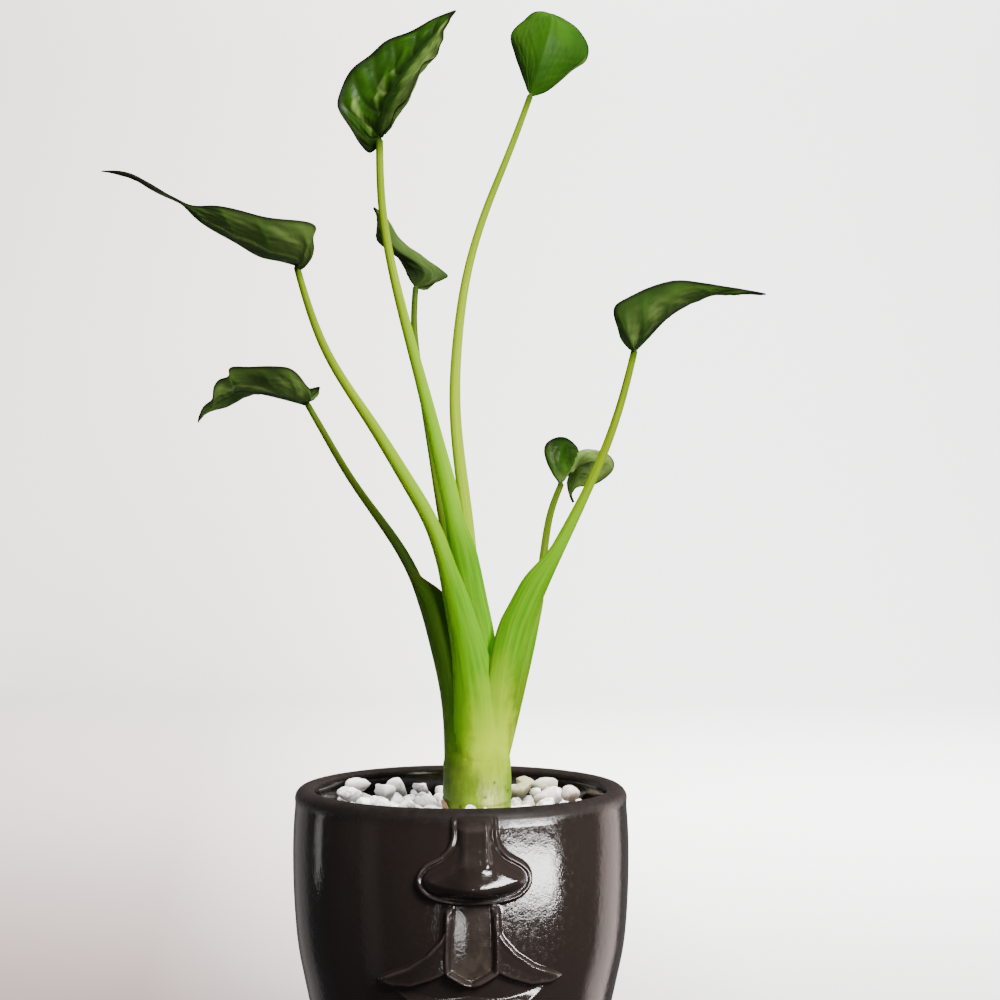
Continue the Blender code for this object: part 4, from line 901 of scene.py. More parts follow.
def makePetiole(key, shape):
    # the surface as a closed tube; masks say where it is rim, in painted shade, open, far down and young
    points, share, turn, q, opened = petioleSurface(key, shape)
    if key in petioleLook["feet"]:
        points, share, opened = addFoot(points, share, turn, q, opened, petioleLook["feet"][key])
    rim = smoothStep((np.abs(q) - 0.82) / 0.18)[None] * opened
    topShade, footShade, sheathShade = petioleLook["dark"][key]
    stalkShade = topShade + (footShade - topShade) * smoothStep(share / 0.5)[:, None]
    young = petioleLook["young"].get(key, 0.0) * smoothStep((share - 0.2) / 0.32)[:, None]
    masks = {"rim": rim, "dark": stalkShade * (1.0 - opened) + sheathShade * opened, "open": opened,
             "down": share[:, None], "young": young}
    masks = {name: np.broadcast_to(values, rim.shape) for name, values in masks.items()}
    points, faces, masks = cappedTube(points, points[0].mean(axis=0), points[-1].mean(axis=0), masks)
    # uv in millimetres: across the stalk and down its path
    uv = np.broadcast_arrays(np.sin(turn / 2)[None] * 8.0, share[:, None] * chordLength(shape["path"]))
    uv = np.stack(uv, axis=-1).reshape(-1, 2)
    uv = np.concatenate([uv, uv[:1], uv[-1:]])
    return makeMesh(f"petiole{key.upper()}", points, faces, uv=uv, masks=masks)


def petioleMaterial():
    w = Wiring("petioleSkin")
    across, _, tall = w.sides()
    streak = w.span(w.noise(1.0, 3.0, 0.55, coords=w.uv(), stretch=(1.6, 0.035, 1.0)), 0.34, 0.66)
    hair = w.span(w.noise(1.0, 2.0, 0.5, coords=w.uv(), stretch=(7.0, 0.05, 1.0)), 0.40, 0.62)
    blotch = w.span(w.noise(60.0, 3.0, 0.5), 0.35, 0.65)
    stalk = w.mix(w.times(streak, 0.6), petioleLook["stalk"], petioleLook["lit"])
    sheath = w.mix(w.times(streak, 0.55), petioleLook["sheath"], petioleLook["bright"])
    sheath = w.mix(w.times(hair, 0.30), sheath, petioleLook["line"])
    top = w.span(w.mask("down"), *petioleLook["topFade"], (0.9, 0.0))
    stalk = w.mix(top, stalk, w.mix(streak, petioleLook["stalkTop"], petioleLook["stalk"]))
    node = w.span(w.mask("down"), *petioleLook["nodeFade"], (0.0, 0.85))
    stalk = w.mix(node, stalk, petioleLook["node"])
    stalk = w.mix(w.mask("young"), stalk, petioleLook["youngGreen"])
    colour = w.mix(w.mask("open"), stalk, sheath)
    # painted shade for the petioles further back, by the dark mask
    shade = w.mix(w.times(streak, 0.5), petioleLook["shade"], petioleLook["shadeLit"])
    shade = w.mix(w.times(w.mask("rim"), 0.8), shade, petioleLook["rust"])
    colour = w.mix(w.mask("dark"), colour, shade)
    # towards their feet the sheaths take the trunk's colours
    trunk, _, _ = trunkColour(w)
    foot = w.plus(tall, w.span(blotch, 0.0, 1.0, (-5.0, 5.0)))
    foot = w.plus(foot, w.times(w.mask("dark"), 12.0))
    foot = w.plus(foot, w.span(across, -4.0, 16.0, (10.0, -8.0)))
    foot = w.times(w.span(foot, *petioleLook["trunkTall"]), w.mask("open"))
    colour = w.mix(foot, colour, trunk)
    rim = w.times(w.mask("rim"), w.span(w.mask("dark"), 0.0, 1.0, (0.5, 0.0)))
    colour = w.mix(rim, colour, petioleLook["edge"])
    w.set(colour=colour, rough=w.span(streak, 0.0, 1.0, (0.45, 0.58)), level=0.06)
    w.bump(w.plus(streak, w.times(w.noise(900.0, 2.0), 0.4)), 0.08, 0.5)
    return w.material


# Blades: cupped sheets with quilted cells between their side veins and a rib along the underside

# midrib, left, right: points from the blade's foot to its tip; up: where its upper face looks, at the
# foot and at the tip; lobe: share of the margins that fans out from the midrib's start; sag: how deep
# each half is cupped, as a share of its breadth
bladeShapes = {
    "a": {
        "midrib": [(-29, -6, 350), (-27, -6, 359.5), (-20, -5, 372.5), (-2, 2, 396)],
        "left": [(-29.5, -5.5, 348.5), (-32, -4, 343.5), (-36, -2, 347), (-42.5, 1, 357.5),
                 (-44.5, 1.5, 361.5), (-43.5, 1.5, 366.5), (-38.5, 1.5, 375.5), (-33, 1.5, 379.5),
                 (-27.5, 1.5, 384.5), (-20, 1.5, 387.5), (-10.5, 1.5, 392.5)],
        "right": [(-28, -7, 348.5), (-24.5, -14, 352.5), (-20.5, -20, 358), (-17.5, -22, 360.5),
                  (-13.5, -21, 370.5), (-9, -17, 375), (-6.5, -11, 382), (-4.5, -1.5, 391.5)],
        "up": [(-0.6, -0.75, 0.3), (-0.7, -0.6, 0.4)], "lobe": 0.20, "sag": (0.20, 0.12)},
    "b": {
        "midrib": [(25, 22, 369.5), (27, 20, 375), (33, 24, 397), (33, 31, 400.9), (33, 43, 403.85)],
        "left": [(24, 22.5, 371.5), (18.5, 28, 388.5), (18, 30, 393.5), (23, 32, 399.5),
                 (26.5, 33, 402.5), (32.5, 39, 403.5)],
        "right": [(26, 22.5, 369), (29, 23.5, 370), (42.5, 29, 381), (46, 31, 384),
                  (47, 32, 388.5), (45.5, 33, 393), (42.5, 35, 397.3), (39, 37, 400.4), (35, 38, 402.6)],
        "up": [(0, 1, -0.1), (0, 0.3, 1)], "lobe": 0.05, "sag": (0.12, 0.12)},
    "c": {
        "midrib": [(-56.5, -24, 302), (-62.5, -25, 303.5), (-68, -26, 304.5), (-75.5, -27, 308.5),
                   (-91.5, -28.5, 318.5), (-94.5, -29, 321.5), (-103.5, -30, 326),
                   (-111, -31.6, 330.5), (-122.5, -33.5, 332.5)],
        "left": [(-56, -25.5, 301), (-52, -32.5, 301), (-49, -39, 306), (-49, -41, 309),
                 (-48, -42.5, 311.5), (-57, -42.5, 314.5), (-65, -42, 315.5), (-85, -34.5, 320.5),
                 (-91.5, -31.5, 321), (-99, -30.2, 324.5), (-103.5, -31, 326.5),
                 (-111, -32.4, 331)],
        "right": [(-56.5, -22.5, 302.5), (-54, -15, 305), (-53.5, -8.5, 312.5), (-54, -7, 315.5),
                  (-70.5, -8, 319), (-82.5, -15, 321.5), (-88, -19.5, 321.5), (-96, -28, 323),
                  (-103.5, -29.4, 327), (-116.5, -32, 332.5)],
        "up": [(0.35, 0, 0.94), (0.3, 0, 0.95)], "lobe": 0.20, "sag": (0.18, 0.18)},
    "d": {
        "midrib": [(-56, 2, 255), (-70.5, 1.5, 258.5), (-83, 0, 258), (-86.5, -0.5, 255.5),
                   (-93, -2.5, 250.5), (-94, -3, 247.5)],
        "left": [(-55, 1, 255.5), (-53.5, -3, 259), (-54.5, -5.5, 260.5), (-58.5, -11.5, 265.5),
                 (-76, -12, 267), (-81.8, -11, 265.6), (-81.8, -10.5, 264.2),
                 (-84.6, -9, 263), (-88, -6.5, 258.5), (-88.5, -5, 256), (-91, -4, 254)],
        "right": [(-55.5, 3.5, 256), (-51.5, 8, 261), (-55, 10.5, 260.5), (-60.5, 15, 265),
                  (-69.5, 17.5, 267.5), (-76, 14.5, 261.5), (-80.5, 10, 257), (-91, 1, 251.5),
                  (-92, -1.5, 250)],
        "up": [(0.1, -0.1, 1), (-0.5, 0, 0.85)], "lobe": 0.12, "sag": (0.18, 0.18)},
    "e": {
        "midrib": [(-17, 24, 299), (-14, 23, 303), (-23.5, 23.5, 312), (-29, 24.5, 320.5),
                   (-31, 25.5, 326), (-33, 26, 328.5)],
        "left": [(-17.5, 24.8, 300), (-22.5, 30, 308), (-27, 31.5, 313.5), (-32, 31, 317.5),
                 (-31.5, 28.5, 324)],
        "right": [(-15.5, 24.5, 298.5), (-14, 25.5, 298), (-9, 28.5, 301.5), (-5.5, 30, 303.5),
                  (-8, 31, 306), (-18.5, 31.2, 313.5), (-22.5, 31, 316.5), (-28.5, 28, 325)],
        "up": [(0.2, 0.9, 0.3), (0.2, 0.9, 0.3)], "lobe": 0.20, "sag": (0.16, 0.16)},
    "f": {
        "midrib": [(60.5, -22, 272.5), (65.5, -22, 277.5), (72, -22.5, 284), (79.5, -23, 288.5),
                   (85, -24, 291), (94, -26, 291.5), (105.5, -29, 291)],
        "left": [(60.5, -20.5, 273), (57.5, -12.5, 281.5), (58, -8, 287.5), (62, -6.5, 290),
                 (67, -6, 292.5), (97.5, -24.5, 292.5), (101, -27.3, 291.5)],
        "right": [(59.5, -23.5, 272), (55, -30, 276), (54, -33, 279), (53, -38.5, 286),
                  (56, -39.5, 288), (75, -38.5, 294.5), (82.5, -36, 294), (96.5, -30, 292.5)],
        "up": [(-0.7, 0, 0.7), (0, 0, 1)], "lobe": 0.22, "sag": (0.18, 0.18)},
    "g": {
        "midrib": [(36.5, 26, 226), (40.5, 29.5, 230.5), (43, 36.5, 233), (43, 44.5, 228.5),
                   (41, 47.5, 221.5), (42, 48, 219)],
        "left": [(36, 25.5, 225.5), (31.5, 27.5, 241.5), (36, 29.5, 243.5), (43, 36, 239.5),
                 (42.5, 44, 233.5), (39.5, 48, 227)],
        "right": [(37, 27, 226.5), (39, 31, 229.5), (42.5, 36.5, 237.5), (57.5, 49, 233),
                  (47.5, 50, 225.5), (45, 49.5, 225.5), (41, 48.5, 222.5)],
        "up": [(0.1, 0.9, -0.3), (0.2, 0.95, 0.1)], "lobe": 0.12, "sag": (0.14, 0.12)},
}
bladeLook = {
    "rows": 150, "cells": 42, "lastRow": 0.997, "weld": 0.002,
    "thick": 0.62, "thinEdge": 0.26, "ribWide": 1.15, "ribTall": 0.95,
    # how far the side veins sweep towards the tip, and how far rib and veins sink or stand out
    "sweep": 0.16, "ribSunk": 0.30, "veinSunk": 0.10, "veinTall": 0.16,
    # how much the rolled drip tip thickens; tail: where a long tail's extra thickness starts, and it
    "tipRoll": 1.15, "tail": {"c": (0.74, 0.8)},
    # quilt: how far the cells bulge; ruffle: how far the edge waves; veins: side veins in each half
    "quilt": {"a": 0.85, "b": 0.05, "c": 0.6, "d": 0.6, "e": 0.3, "f": 0.6, "g": 0.5},
    "ruffle": {"a": 0.30, "b": 0.04, "c": 0.12, "d": 0.15, "e": 0.08, "f": 0.08, "g": 0.08},
    "veins": {"a": 8.5, "b": 5.5, "c": 6.5, "d": 5.5, "e": 5.0, "f": 6.0, "g": 5.5},
    "veinSeen": {"b": 0.1, "e": 0.5},
    "upperDark": (0.010, 0.045, 0.002), "upperLit": (0.050, 0.168, 0.005), "upperVein": (0.09, 0.20, 0.02),
    "lowerDark": (0.065, 0.125, 0.026), "lowerLit": (0.150, 0.246, 0.048),
    "lowerVein": (0.065, 0.19, 0.012),
    # undersides that are a fresher green, and how much
    "fresh": {"a": 1.0, "b": 1.0, "f": 0.4}, "freshDark": (0.025, 0.106, 0.004),
    "freshLit": (0.060, 0.204, 0.005), "fleck": (0.10, 0.20, 0.04),
    "margin": (0.009, 0.005, 0.005), "glow": (0.36, 0.54, 0.125), "gloom": (0.017, 0.029, 0.009),
}


# Painted light and shade of each blade, lighter places being painted highlights and painted light shining
# through, darker ones
# painted shade: share along it, share across it (left is negative), reach along and across, and how much;
# the second list has those that only the bulges take, and the last one painted highlights along the
# creases: from, to, width and how much
bladeLightAndShade = {
    "a": [[(0.45, 0.62, 0.55, 0.55, 1.0), (0.55, -0.10, 0.35, 0.16, -0.75), (0.85, -0.3, 0.15, 0.5, -0.3),
           (0.10, -0.85, 0.14, 0.30, -0.6), (0.40, 0.12, 0.10, 0.10, -0.5), (0.22, -0.5, 0.25, 0.4, -0.3)],
          [],
          [((0.36, -0.74), (0.22, -0.36), 0.034, 1.0), ((0.20, -0.62), (0.09, -0.16), 0.028, 0.9),
           ((0.14, -0.30), (0.09, -0.06), 0.024, 0.7), ((0.41, -0.34), (0.31, -0.12), 0.024, 0.8),
           ((0.48, -0.40), (0.42, -0.16), 0.030, 0.9), ((0.56, -0.36), (0.52, -0.20), 0.022, 0.5)]],
    "b": [[(0.4, -0.6, 0.4, 0.5, 0.06), (0.7, 0.10, 0.25, 0.04, -0.4), (0.5, 0.5, 0.6, 0.5, -0.15)], [],
          [((0.06, 0.97), (0.44, 0.97), 0.05, 0.9)]],
    "c": [[(0.24, -0.75, 0.10, 0.30, 0.40), (0.45, -0.12, 0.30, 0.20, -0.75), (0.85, 0.0, 0.16, 3.0, -0.85),
           (0.05, -0.9, 0.05, 0.4, -0.7)], [(0.22, -0.7, 0.10, 0.30, 0.6)],
          [((0.62, -0.35), (0.50, -0.33), 0.035, 0.9), ((0.50, -0.33), (0.40, -0.42), 0.035, 1.1),
           ((0.40, -0.42), (0.24, -0.34), 0.035, 0.8), ((0.58, -0.22), (0.40, -0.20), 0.030, 0.5)]],
    "d": [[(0.25, -0.70, 0.09, 0.30, 0.45), (0.42, -0.85, 0.12, 0.25, -0.5),
           (0.40, -0.10, 0.35, 0.12, -0.85), (0.10, 0.0, 0.08, 0.6, -0.3), (0.95, 0.0, 0.08, 3.0, -0.8)],
          [(0.25, -0.6, 0.12, 0.3, 0.7)],
          [((0.60, -0.50), (0.50, -0.46), 0.040, 1.0), ((0.48, -0.42), (0.40, -0.22), 0.035, 0.9),
           ((0.62, -0.16), (0.85, -0.22), 0.040, 1.1), ((0.64, -0.40), (0.72, -0.80), 0.040, 0.5)]],
    "e": [[(0.40, -0.4, 0.5, 0.5, -0.95), (0.35, 0.5, 0.6, 0.8, -0.45), (0.10, 0.3, 0.06, 0.5, -0.5)], [],
          [((0.50, 0.18), (0.28, 0.28), 0.035, 0.35), ((0.30, 0.05), (0.08, 0.03), 0.035, 0.30)]],
    "f": [[(0.46, 0.50, 0.18, 0.30, 0.20), (0.40, 0.40, 0.45, 0.6, 0.14), (0.14, 0.75, 0.09, 0.35, -0.55),
           (0.55, 0.0, 0.5, 0.10, -0.95), (0.9, 0.0, 0.15, 3.0, -0.5), (0.5, 0.95, 0.2, 0.10, -0.5),
           (0.20, 0.30, 0.05, 0.16, 0.25)],
          [(0.26, 0.35, 0.12, 0.25, 0.9), (0.45, 0.45, 0.16, 0.30, 0.45)], []],
    "g": [[(0.20, -0.75, 0.16, 0.35, 0.20), (0.46, -0.6, 0.14, 0.4, -0.35), (0.08, -0.15, 0.10, 0.20, 0.6),
           (0.45, 0.70, 0.38, 0.55, 0.85), (0.70, 0.45, 0.14, 0.35, 0.6), (0.42, 0.36, 0.08, 0.10, -0.35),
           (0.55, 0.22, 0.05, 0.08, -0.55), (0.96, 0.0, 0.07, 3.0, -1.0)],
          [(0.5, 0.5, 0.2, 0.3, 0.4)], [((0.02, 0.0), (0.35, 0.0), 0.05, 0.5)]],
}


def paintedLightOf(key, u, v, puff):
    # painted light and shade: sum of soft round patches, of patches that only reach the bulges, and of
    # highlights painted along creases as soft lines
    plain, bulging, creaseHighlights = bladeLightAndShade[key]
    onBulge = smoothStep((puff - 0.35) / 0.5) - 0.3
    tone = np.zeros_like(u)
    for patches, where in ((plain, 1.0), (bulging, onBulge)):
        for at, side, far, wide, amount in patches:
            tone = tone + amount * bell((u - at) / far) * bell((v - side) / wide) * where
    for (u0, v0), (u1, v1), wide, amount in creaseHighlights:
        du, dv = u1 - u0, v1 - v0
        along = np.clip(((u - u0) * du + (v - v0) * dv) / (du ** 2 + dv ** 2), 0.0, 1.0)
        off = np.hypot(u - u0 - along * du, v - v0 - along * dv)
        tone = tone + amount * bell(off / wide)
    return np.clip(tone, -1.0, 1.0)


def bladeGrid(shape, rows, cells):
    # each half is ruled from the midrib to its margin and sags in an arch away from the upper face
    share = np.linspace(0.0, bladeLook["lastRow"], rows)
    inner = np.clip((share - shape["lobe"]) / (1.0 - shape["lobe"]), 0.0, 1.0)
    middle, _ = splineThrough(shape["midrib"], inner * chordLength(shape["midrib"]))
    up = np.array(shape["up"][0]) * (1.0 - inner[:, None]) + np.array(shape["up"][1]) * inner[:, None]
    cell = (np.linspace(0.0, 1.0, cells + 1) ** 0.9)[None, :, None]
    halves = []
    for margin, sag in zip((shape["left"], shape["right"]), shape["sag"]):
        path = margin + [shape["midrib"][-1]]
        edge, _ = splineThrough(path, share * chordLength(path))
        width = edge - middle
        breadth = np.maximum(np.linalg.norm(width, axis=1, keepdims=True), 0.001)
        normal = unit(up - width * np.sum(up * width, axis=1, keepdims=True) / breadth ** 2)
        arch = (normal * breadth * sag)[:, None, :] * 4.0 * cell * (1.0 - cell)
        halves.append(middle[:, None, :] + width[:, None, :] * cell - arch)
    left, right = halves
    across = np.concatenate([-cell[0, ::-1, 0], cell[0, 1:, 0]])
    return np.concatenate([left[:, ::-1], right[:, 1:]], axis=1), share, across, up


def surfaceNormals(grid, up, cells, fanned):
    # cross product of the grid's two directions, smoothed, and one shared normal where rows meet
    normal = np.cross(np.gradient(grid, axis=0), np.gradient(grid, axis=1))
    if np.sum(normal * up[:, None]) < 0.0:
        normal = -normal
    normal = unit(normal)
    for _ in range(5):
        padded = np.pad(normal, ((1, 1), (1, 1), (0, 0)), mode="edge")
        normal = unit(padded[:-2, 1:-1] + padded[2:, 1:-1] + padded[1:-1, :-2] + padded[1:-1, 2:] + normal)
    weight = np.clip(1.0 - np.abs(np.arange(-cells, cells + 1)) / 6.0, 0.0, 1.0)[None, :, None]
    shared = unit(normal[fanned, cells].mean(axis=0))
    normal[fanned] = unit(normal[fanned] * (1.0 - weight) + shared * weight)
    return normal


def makeBlade(key, shape, seed):
    # two skins half a thickness off the grid along its normals, quilted, ruffled, ribbed and veined;
    # u runs along the blade and v across it, both as shares
    rows, cells = bladeLook["rows"], bladeLook["cells"]
    grid, share, across, up = bladeGrid(shape, rows, cells)
    fanned = share < shape["lobe"]
    normal = surfaceNormals(grid, up, cells, fanned)
    u, v = np.meshgrid(share, across, indexing="ij")
    w = np.abs(v)
    breadth = np.linalg.norm(grid - grid[:, cells:cells + 1], axis=2)
    # side veins leave the midrib and sweep towards the tip; their phase is whole on each vein
    sweep = u - bladeLook["sweep"] * w ** 1.6 + 0.012 * (np.sign(v) + smoothNoise(seed, u * 3.0, v * 2.0))
    phase = bladeLook["veins"][key] * sweep * (1.25 - 0.25 * u)
    fromVein = np.abs(phase - np.round(phase)) * 2.0
    cross = np.sin(w * 15.0 + 4.0 * np.sin(phase * 2.0) + seed)
    puff = fromVein ** 0.75 * (1.0 + 0.28 * cross) * (1.0 + 0.35 * smoothNoise(seed + 1, u * 5.0, v * 4.0))
    # the cells flatten out at the midrib, at the margin and where the blade is narrow
    body = smoothStep(w / 0.16) * smoothStep((1.0 - w) / 0.22)
    body = body * smoothStep(breadth.max(axis=1, keepdims=True) / 6.0)
    quilt = bladeLook["quilt"][key] * (puff - 0.55) * body
    quilt = quilt + 0.12 * smoothNoise(seed + 2, u * 16.0, v * 12.0) * body
    ruffle = bladeLook["ruffle"][key] * np.sin(u * 41.0 + seed)
    ruffle = ruffle * smoothStep((w - 0.72) / 0.28) * smoothStep((1.0 - u) / 0.15)
    lift = quilt * 0.8 + ruffle
    thin = bladeLook["thinEdge"]
    thick = thin + (bladeLook["thick"] - thin) * smoothStep((1.0 - w) / 0.25)
    # where a blade narrows to its drip tip it rolls up and thickens
    narrow = breadth[:, [0]] + breadth[:, [-1]]
    roll = smoothStep((3.4 - narrow) / 2.6) * smoothStep((1.0 - u) / 0.12) * (u > 0.4)
    thick = thick + bladeLook["tipRoll"] * roll
    start, more = bladeLook["tail"].get(key, (0.9, 0.0))
    thick = thick + more * smoothStep((u - start) / 0.10) * smoothStep((1.0 - u) / 0.18)
    rib = bladeLook["ribTall"] * np.clip(1.0 - u * 0.92, 0.0, 1.0) ** 0.8
    ribShape = bell(breadth / (bladeLook["ribWide"] * (1.0 - 0.75 * u)))
    vein = bell(fromVein / (0.16 + 0.10 * w)) * smoothStep((1.0 - w) / 0.12) * smoothStep((w - 0.02) / 0.05)
    seen = bladeLook["veinSeen"].get(key, 1.0)
    vein, ribShape = vein * seen, ribShape * seen
    upper = lift + thick / 2 - bladeLook["ribSunk"] * ribShape - bladeLook["veinSunk"] * vein
    lower = lift - thick / 2 - rib * ribShape - bladeLook["veinTall"] * vein * (1.0 - 0.6 * w)
    points = np.concatenate([(grid + normal * off[..., None]).reshape(-1, 3) for off in (upper, lower)])
    # the dark line along the margin keeps its width in millimetres
    gap = (1.0 - w) * np.maximum(np.where(v < 0, breadth[:, [0]], breadth[:, [-1]]), 0.5)
    margin = bell(gap / 0.72) ** 0.8 + 0.8 * smoothStep((u - 0.92) / 0.08)
    puff = np.clip(puff * body, 0.0, 1.0)
    tone = paintedLightOf(key, u, v, puff)
    fields = {"vein": vein, "rib": ribShape, "margin": np.clip(margin, 0.0, 1.0), "puff": puff,
              "glow": np.clip(tone, 0.0, 1.0), "gloom": np.clip(-tone, 0.0, 1.0)}
    masks = {name: np.tile(values.ravel(), 2) for name, values in fields.items()}
    masks["face"] = np.repeat([1.0, 0.0], u.size)
    masks["fresh"] = np.full(2 * u.size, bladeLook["fresh"].get(key, 0.0))
    uv = np.tile(np.stack([v, u * 2.0], axis=-1).reshape(-1, 2), (2, 1))
    return makeMesh(f"blade{key.upper()}", points, shellFaces(rows, 2 * cells + 1), uv=uv, masks=masks,
                    weld=bladeLook["weld"])


def bladeMaterial():
    w = Wiring("leafSkin")
    cloud = w.span(w.noise(55.0, 3.0, 0.5), 0.35, 0.65)  # slow, cloudy change of green
    fine = w.span(w.noise(520.0, 4.0, 0.6), 0.3, 0.7)  # the grain of the skin
    puff = w.times(w.mask("puff"), w.span(cloud, 0.0, 1.0, (0.35, 0.95)))
    upper = w.mix(puff, bladeLook["upperDark"], bladeLook["upperLit"])
    upper = w.mix(w.times(w.mask("vein"), 0.30), upper, bladeLook["upperVein"])
    upper = w.mix(w.times(w.mask("rib"), 0.35), upper, bladeLook["upperVein"])
    lower = w.mix(w.times(cloud, 0.8), bladeLook["lowerDark"], bladeLook["lowerLit"])
    fresh = w.mix(w.times(cloud, 0.8), bladeLook["freshDark"], bladeLook["freshLit"])
    lower = w.mix(w.mask("fresh"), lower, fresh)
    lower = w.mix(w.times(w.mask("vein"), 0.40), lower, bladeLook["lowerVein"])
    lower = w.mix(w.times(w.mask("rib"), 0.80), lower, bladeLook["lowerVein"])
    colour = w.mix(w.mask("face"), lower, upper)
    colour = w.mix(w.times(fine, 0.25), colour, w.mix(0.5, colour, bladeLook["fleck"]))
    # glow is painted light, highlights and light shining through; gloom is painted shade
    patch = w.span(w.noise(230.0, 4.0, 0.6), 0.3, 0.7, (0.55, 1.0))
    colour = w.mix(w.times(w.mask("glow"), patch), colour, bladeLook["glow"])
    colour = w.mix(w.times(w.mask("gloom"), 0.92), colour, bladeLook["gloom"])
    colour = w.mix(w.times(w.mask("margin"), 0.95), colour, bladeLook["margin"])
    rough = w.plus(w.span(w.mask("face"), 0.0, 1.0, (0.46, 0.30)), w.times(fine, 0.10))
    w.set(colour=colour, rough=rough, level=0.12)
    w.bump(w.plus(fine, w.times(w.noise(1500.0, 2.0), 0.4)), 0.05, 0.5)
    return w.material


# Setting: a pale sheet that curves up to a wall behind the pot, soft lights and the camera

setting = {
    "halfWidth": 900.0, "near": -1300.0, "far": 1500.0, "curve": 900.0, "wallTop": 2600.0,
    "pale": (0.86, 0.85, 0.84), "warm": (0.86, 0.81, 0.75), "paintedShadow": (0.30, 0.235, 0.225),
    # where the paper turns warm and a little darker towards the left, as painted shade; then the painted
    # shadow patch: how far its right border slants, and the places between which it sets in from the right,
    # left, back and front
    "warmShadeSpan": (250.0, -650.0), "slant": 0.12, "fromRight": (160.0, -125.0),
    "fromLeft": (-850.0, -520.0), "fromBack": (2300.0, 150.0), "fromFront": (-600.0, -50.0),
    "camera": (13.9, -726.0, 220.0), "focalPixels": 2028.0, "imagePixels": 1000.0, "sensor": 36.0,
    "tints": {"plain": (1.0, 0.98, 0.96), "soft": (1.0, 0.985, 0.96), "white": (1.0, 1.0, 0.995),
              "rose": (1.0, 0.82, 0.79), "blush": (1.0, 0.90, 0.87)},
    # area lights: place, point looked at, width and height in millimetres, power in watts, tint, and
    # "glaze" for one that only shows as a reflection in the pot, "stones" for one that only lights
    # the stones, "dull" for one that never shines
    "lights": {
        "window": ((190.8, -208.9, 61.0), (-24.2, -28.9, 61.0), 167.0, 56.0, 5.5, "plain", "glaze"),
        "glint": ((-34.0, -360.0, -12.0), (0.0, -60.0, 50.0), 42.0, 34.0, 0.33, "plain", "glaze"),
        "rightGlow": ((537.0, 309.0, 40.0), (45.0, -35.0, 90.0), 300.0, 620.0, 2.6, "rose", "glaze"),
        "leftLine": ((-235.0, 41.0, 76.0), (-50.0, -38.0, 90.0), 3.0, 50.0, 0.012, "plain", "glaze"),
        "leftSoft": ((-480.0, -275.0, 40.0), (-32.0, -54.0, 90.0), 120.0, 500.0, 0.09, "blush", "glaze"),
        "leftGlow": ((-440.0, 470.0, 40.0), (-40.0, -30.0, 90.0), 300.0, 620.0, 0.22, "blush", "glaze"),
        "stoneFill": ((120.0, -330.0, 900.0), (0.0, 0.0, 110.0), 260.0, 260.0, 24.0, "soft", "stones"),
        "softBox": ((650.0, -900.0, 1000.0), (0.0, 0.0, 220.0), 460.0, 460.0, 29.0, "soft", "both"),
        "backdropHigh": ((300.0, 900.0, 1700.0), (200.0, 2300.0, 500.0), 1800.0, 600.0, 150.0,
                         "white", "dull"),
        "backdropLow": ((300.0, 520.0, 820.0), (300.0, 1020.0, 0.0), 1000.0, 300.0, 40.0,
                        "white", "dull"),
    },
    "sky": (0.86, 0.87, 0.90), "skySeen": 4.0, "skyLight": 0.20,
}


def makeFloor():
    # a wide roll of paper: flat on the floor, then up behind the object in a quarter circle
    far, curve = setting["far"], setting["curve"]
    flat = np.linspace(setting["near"], far, 12)[:-1]
    bend = np.linspace(0.0, math.pi / 2, 24)
    depth = np.concatenate([flat, far + curve * np.sin(bend), [far + curve]])
    tall = np.concatenate([np.zeros(len(flat)), curve * (1.0 - np.cos(bend)), [setting["wallTop"]]])
    across = np.linspace(-setting["halfWidth"], setting["halfWidth"], 9)
    points = np.stack(np.broadcast_arrays(across, depth[:, None], tall[:, None]), axis=-1).reshape(-1, 3)
    floor = makeMesh("paleFloor", points, [gridQuads(len(tall), len(across))], sheet=True)
    w = Wiring("palePaper")
    # the paper is painted warmer and a little darker towards the left as painted shade, and has a greyer,
    # pinker painted shadow behind the pot's left side
    across, depth, _ = w.sides()
    paper = w.mix(w.span(across, *setting["warmShadeSpan"]), setting["pale"], setting["warm"])
    slanted = w.plus(across, w.times(depth, setting["slant"]))
    patch = w.times(w.span(slanted, *setting["fromRight"]), w.span(across, *setting["fromLeft"]))
    ahead = w.times(w.span(depth, *setting["fromBack"]), w.span(depth, *setting["fromFront"]))
    patch = w.times(patch, ahead)
    w.set(colour=w.mix(patch, paper, setting["paintedShadow"]), rough=0.9, level=0.1)
    floor.data.materials.append(w.material)
    floor.visible_glossy = False
    floor.visible_diffuse = False
    floor.visible_shadow = False


def addLight(receivers, name, spot, target, width, height, power, tint, kind):
    data = bpy.data.lights.new(name, "AREA")
    data.shape = "RECTANGLE"
    data.size, data.size_y = width * mm, height * mm
    data.energy = power
    data.color = setting["tints"][tint]
    lamp = bpy.data.objects.new(name, data)
    bpy.context.scene.collection.objects.link(lamp)
    lamp.location = [c * mm for c in spot]
    aim(lamp, spot, target)
    lamp.visible_camera = False
    lamp.visible_diffuse = kind != "glaze"
    lamp.visible_glossy = kind != "dull"
    if kind in receivers:
        lamp.light_linking.receiver_collection = receivers[kind]


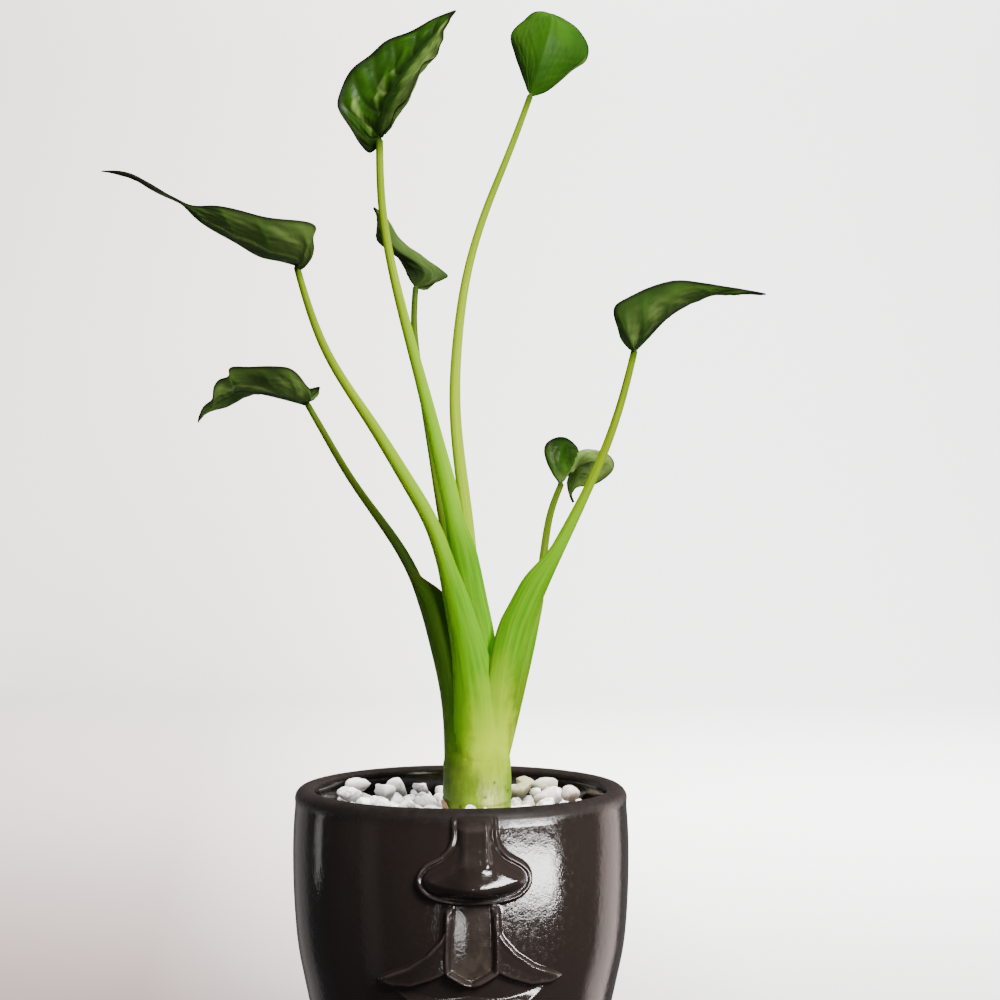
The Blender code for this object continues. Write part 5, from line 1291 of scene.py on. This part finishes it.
def aim(thing, spot, target):
    # turn a lamp or camera so that its -Z looks at the target and its Y stays up
    ahead = unit(np.array(target) - np.array(spot))
    yaw = math.atan2(-ahead[0], ahead[1])
    pitch = math.asin(ahead[2]) + math.pi / 2
    thing.rotation_euler = (pitch, 0.0, yaw)


def makeSetting():
    makeFloor()
    # the pieces that a light for one of them alone shines on
    receivers = {}
    for kind, piece in (("glaze", "glazedPot"), ("stones", "gravelStones")):
        receivers[kind] = bpy.data.collections.new(kind + "Only")
        receivers[kind].objects.link(bpy.data.objects[piece])
    for name, light in setting["lights"].items():
        addLight(receivers, name, *light)
    world = bpy.data.worlds.new("paleRoom")
    world.use_nodes = True
    nodes, links = world.node_tree.nodes, world.node_tree.links
    # the sky that the camera sees is bright, the one that lights the scene is dim
    sky = nodes["Background"]
    sky.inputs["Color"].default_value = (*setting["sky"], 1.0)
    path = nodes.new("ShaderNodeLightPath")
    level = nodes.new("ShaderNodeMapRange")
    level.inputs["To Min"].default_value = setting["skyLight"]
    level.inputs["To Max"].default_value = setting["skySeen"]
    links.new(path.outputs["Is Camera Ray"], level.inputs["Value"])
    links.new(level.outputs["Result"], sky.inputs["Strength"])
    bpy.context.scene.world = world
    data = bpy.data.cameras.new("camera")
    data.sensor_width = setting["sensor"]
    data.lens = setting["focalPixels"] / setting["imagePixels"] * setting["sensor"]
    data.clip_start = 10.0 * mm
    camera = bpy.data.objects.new("camera", data)
    bpy.context.scene.collection.objects.link(camera)
    camera.location = [c * mm for c in setting["camera"]]
    camera.rotation_euler = (math.pi / 2, 0.0, 0.0)
    bpy.context.scene.camera = camera


makePot()
print("pot made")
dressSoil()
makeGravel()
print("gravel made")
makeSetting()
print("setting made")
makeStem()
makeDryScale()
print("stem made")
skin = petioleMaterial()
for key, shape in petioleShapes.items():
    place(makePetiole(key, shape), skin, "petiole_green", f"petiole_{key}")
print("petioles made")
leaf = bladeMaterial()
for seed, (key, shape) in enumerate(bladeShapes.items()):
    place(makeBlade(key, shape, 31 + seed * 7), leaf, "leaf_green", f"blade_{key}")
print("blades made")
